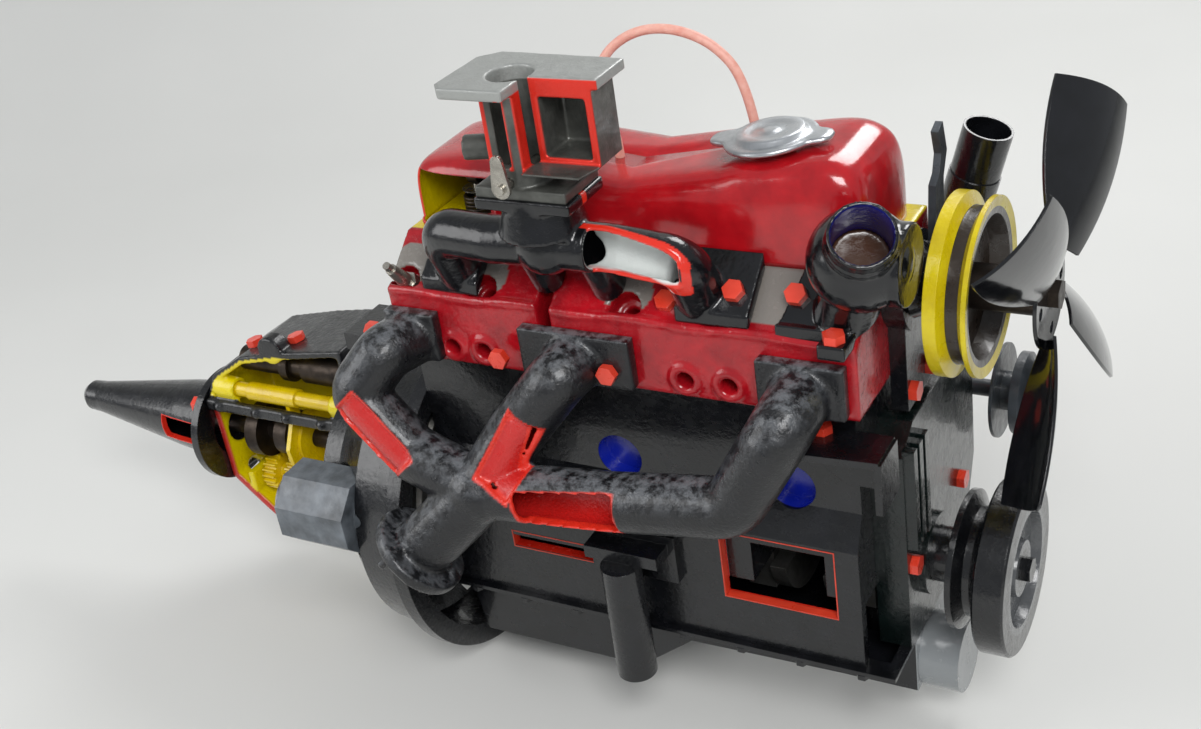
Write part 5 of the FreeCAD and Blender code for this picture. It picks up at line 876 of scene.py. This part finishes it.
# %% Breather hose
HOSE_ROUTE = ((-20, 6, 343.4), (-20, 6, 366), (-36, 14, 384), (-42, 22, 406), (-32, 30, 428), (-6, 36, 443),
              (26, 40, 444), (58, 44, 430), (82, 43, 402), (88, 42, 361))
HOSE_RADIUS = 4.0

hose_line = bpy.data.curves.new("breather_hose_line", "CURVE")
hose_line.dimensions = "3D"
spline = hose_line.splines.new("NURBS")
spline.points.add(len(HOSE_ROUTE) - 1)
for point, spot in zip(spline.points, HOSE_ROUTE):
    point.co = (*(v * MM for v in spot), 1)
spline.order_u = 3
spline.use_endpoint_u = True
spline.resolution_u = 12
hose_line.bevel_depth = HOSE_RADIUS * MM
hose_line.bevel_resolution = 6
hose_line.use_fill_caps = True
hose = bpy.data.objects.new("breather_hose_rubber", hose_line)
bpy.context.scene.collection.objects.link(hose)


def hose_length():
    """Length of the spline, measured on a copy of the curve with no bevel."""
    bare = hose_line.copy()
    bare.bevel_depth = 0
    holder = bpy.data.objects.new("measure", bare)
    bpy.context.scene.collection.objects.link(holder)
    line = bpy.data.meshes.new_from_object(holder.evaluated_get(bpy.context.evaluated_depsgraph_get()))
    flat = np.array([v.co for v in line.vertices])
    bpy.data.objects.remove(holder)
    return float(np.linalg.norm(np.diff(flat, axis=0), axis=1).sum())


def rubber(name, colour, deep):
    """Aged pink rubber: a satin skin with a chalky bloom."""
    finish, tree, surface, place = new_finish(name)
    shade = paint_over(tree, blotches(tree, place, 8.0, 0.0, 1.0), colour, deep)
    tree.links.new(shade, surface.inputs["Base Color"])
    tree.links.new(blotches(tree, place, 5.0, 0.35, 0.55), surface.inputs["Roughness"])
    surface.inputs["Subsurface Weight"].default_value = 0.05
    height = blotches(tree, place, 1.5, 0.0, 1.0)
    bump = add(tree, "ShaderNodeBump", {"Strength": 0.3, "Distance": 0.1 * MM}, {"Height": height})
    tree.links.new(bump.outputs[0], surface.inputs["Normal"])
    return finish


hose.data.materials.append(rubber("aged_pink_rubber", "f0b9aa", "e39c8c"))
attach(hose, "engine")
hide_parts("breather_hose")
length = hose_length()
print("hose length:", round(length, 4), "m")


# %% [markdown]
# ## Orange-red sawn edges
# Every window's sawn wall is brushed orange-red, and the brush strays a little over the face beside
# it. Each edge is a thin ribbon that lines the window's wall and turns out over the face: the window's
# outline carried along a short section.

# %% Painted edges round the windows
def window_edge(name, outline, face_y, depth, lip=1.4, proud=0.35):
    """Lines a window in a wall that faces -Y. The outline is (x, z) corners; the ribbon runs inwards
    by the wall's depth and turns outwards over the face by a lip."""
    ring = np.asarray(outline, float)
    before, after = np.roll(ring, 1, axis=0), np.roll(ring, -1, axis=0)
    first = (ring - before) / np.linalg.norm(ring - before, axis=1)[:, None]
    second = (after - ring) / np.linalg.norm(after - ring, axis=1)[:, None]
    area = 0.5 * np.sum(before[:, 0] * ring[:, 1] - ring[:, 0] * before[:, 1])
    out = np.stack([first[:, 1] + second[:, 1], -(first[:, 0] + second[:, 0])], -1) * np.sign(area)
    out /= np.linalg.norm(out, axis=1)[:, None]
    facing = np.stack([second[:, 1], -second[:, 0]], -1) * np.sign(area)
    corner = 1.0 / np.clip(np.sum(out * facing, axis=1), 0.4, 1)
    section = ((lip, -proud), (lip, 0.0), (0.0, 0.0), (0.0, depth), (-proud, depth), (-proud, -proud))
    points = np.stack([np.stack([ring[:, 0] + out[:, 0] * corner * o, np.full(len(ring), face_y + y),
                                 ring[:, 1] + out[:, 1] * corner * o], -1) for o, y in section])
    count = len(ring)
    faces = []
    for s in range(len(section)):
        for k in range(count):
            a, b = s * count + k, s * count + (k + 1) % count
            c, d = ((s + 1) % len(section)) * count + (k + 1) % count, ((s + 1) % len(section)) * count + k
            faces.append((a, b, c, d))
    piece = new_piece(name, points, faces, "engine", edge_paint, smooth=False)
    shape = bmesh.new()
    shape.from_mesh(piece.data)
    bmesh.ops.recalc_face_normals(shape, faces=shape.faces)
    shape.to_mesh(piece.data)
    shape.free()
    return piece


edge_paint = enamel("orange_red_on_sawn_iron", "ea4a30", "d43a24", 0.35, 3.0, 0.2)
window_edge("block_window_edge", ((82, -13), (184, -13), (184, 55), (82, 55)), -95, 8.0, 0.8)
window_edge("block_slit_edge", ((-130, -7), (-30, -7), (-30, 10), (-130, 10)), -95, 8.0, 0.8)


# %% [markdown]
# ## Studio
# A plain pale floor that curves up behind the engine, and three broad lamps. The lamps and the sky
# together light a white card to just under white, so a colour renders about as it is written.

# %% Floor and backdrop
FLOOR_Z = cad_low.z * 1000
BEND_START, BEND_RADIUS = 1500, 1200


def backdrop_points():
    """A flat floor that bends up into a wall along a quarter circle, carried across the picture."""
    t = np.linspace(0.05, np.pi / 2, 20)
    run = np.concatenate([
        np.stack([np.linspace(-4000, BEND_START, 24), np.zeros(24)], -1),
        np.stack([BEND_START + BEND_RADIUS * np.sin(t), BEND_RADIUS - BEND_RADIUS * np.cos(t)], -1),
        np.stack([np.full(10, float(BEND_START + BEND_RADIUS)), np.linspace(1300, 5200, 10)], -1)])
    across = np.linspace(-5200, 5200, 20)
    facing = np.array((-math.sin(CAMERA_TURN), math.cos(CAMERA_TURN)))
    side = np.array((math.cos(CAMERA_TURN), math.sin(CAMERA_TURN)))
    flat = run[:, None, 0, None] * facing + across[None, :, None] * side
    height = np.broadcast_to((FLOOR_Z - 0.5 + run[:, 1])[:, None, None], flat.shape[:2] + (1,))
    return np.concatenate([flat, height], -1)


floor_grid = backdrop_points()
floor = new_piece("pale_floor", floor_grid, grid_faces(*floor_grid.shape[:2], False), None)
floor_finish, tree, surface, place = new_finish("pale_paper_backdrop")
paper = paint_over(tree, blotches(tree, place, 900.0, 0.0, 1.0), "dcdcd9", "d6d6d3")
tree.links.new(paper, surface.inputs["Base Color"])
surface.inputs["Roughness"].default_value = 0.85
# From behind, the wall would hide the engine, so a camera there looks through the wall's back.
behind = add(tree, "ShaderNodeNewGeometry").outputs["Backfacing"]
seen = add(tree, "ShaderNodeLightPath").outputs["Is Camera Ray"]
through = add(tree, "ShaderNodeMath", {"operation": "MULTIPLY"}, {0: behind, 1: seen}).outputs[0]
clear = add(tree, "ShaderNodeBsdfTransparent").outputs[0]
shown = add(tree, "ShaderNodeMixShader", links={0: through, 1: surface.outputs[0], 2: clear}).outputs[0]
tree.links.new(shown, tree.nodes["Material Output"].inputs["Surface"])
wear(floor, floor_finish)


# %% Lamps and sky
def lamp(name, place, aim, width, watts, colour="ffffff"):
    """A square area lamp that faces a point."""
    light = bpy.data.lights.new(name, "AREA")
    light.size, light.energy, light.color = width, watts, linear(colour)[:3]
    holder = bpy.data.objects.new(name, light)
    holder.location = place
    holder.rotation_mode = "QUATERNION"
    holder.rotation_quaternion = (Vector(aim) - Vector(place)).to_track_quat("-Z", "Y")
    bpy.context.scene.collection.objects.link(holder)
    return holder


lamp("key", (1.3, -1.7, 2.1), (0, 0, 0.15), 1.1, 52)
lamp("fill", (-2.0, -1.5, 1.2), (-0.2, 0, 0.1), 1.6, 26)
lamp("rim", (0.3, 2.0, 1.9), (0, 0, 0.2), 1.2, 34)
sky = bpy.data.worlds.new("soft_sky")
bpy.context.scene.world = sky
sky.use_nodes = True
sky.node_tree.nodes["Background"].inputs["Color"].default_value = linear("e9edf2")
sky.node_tree.nodes["Background"].inputs["Strength"].default_value = 0.42
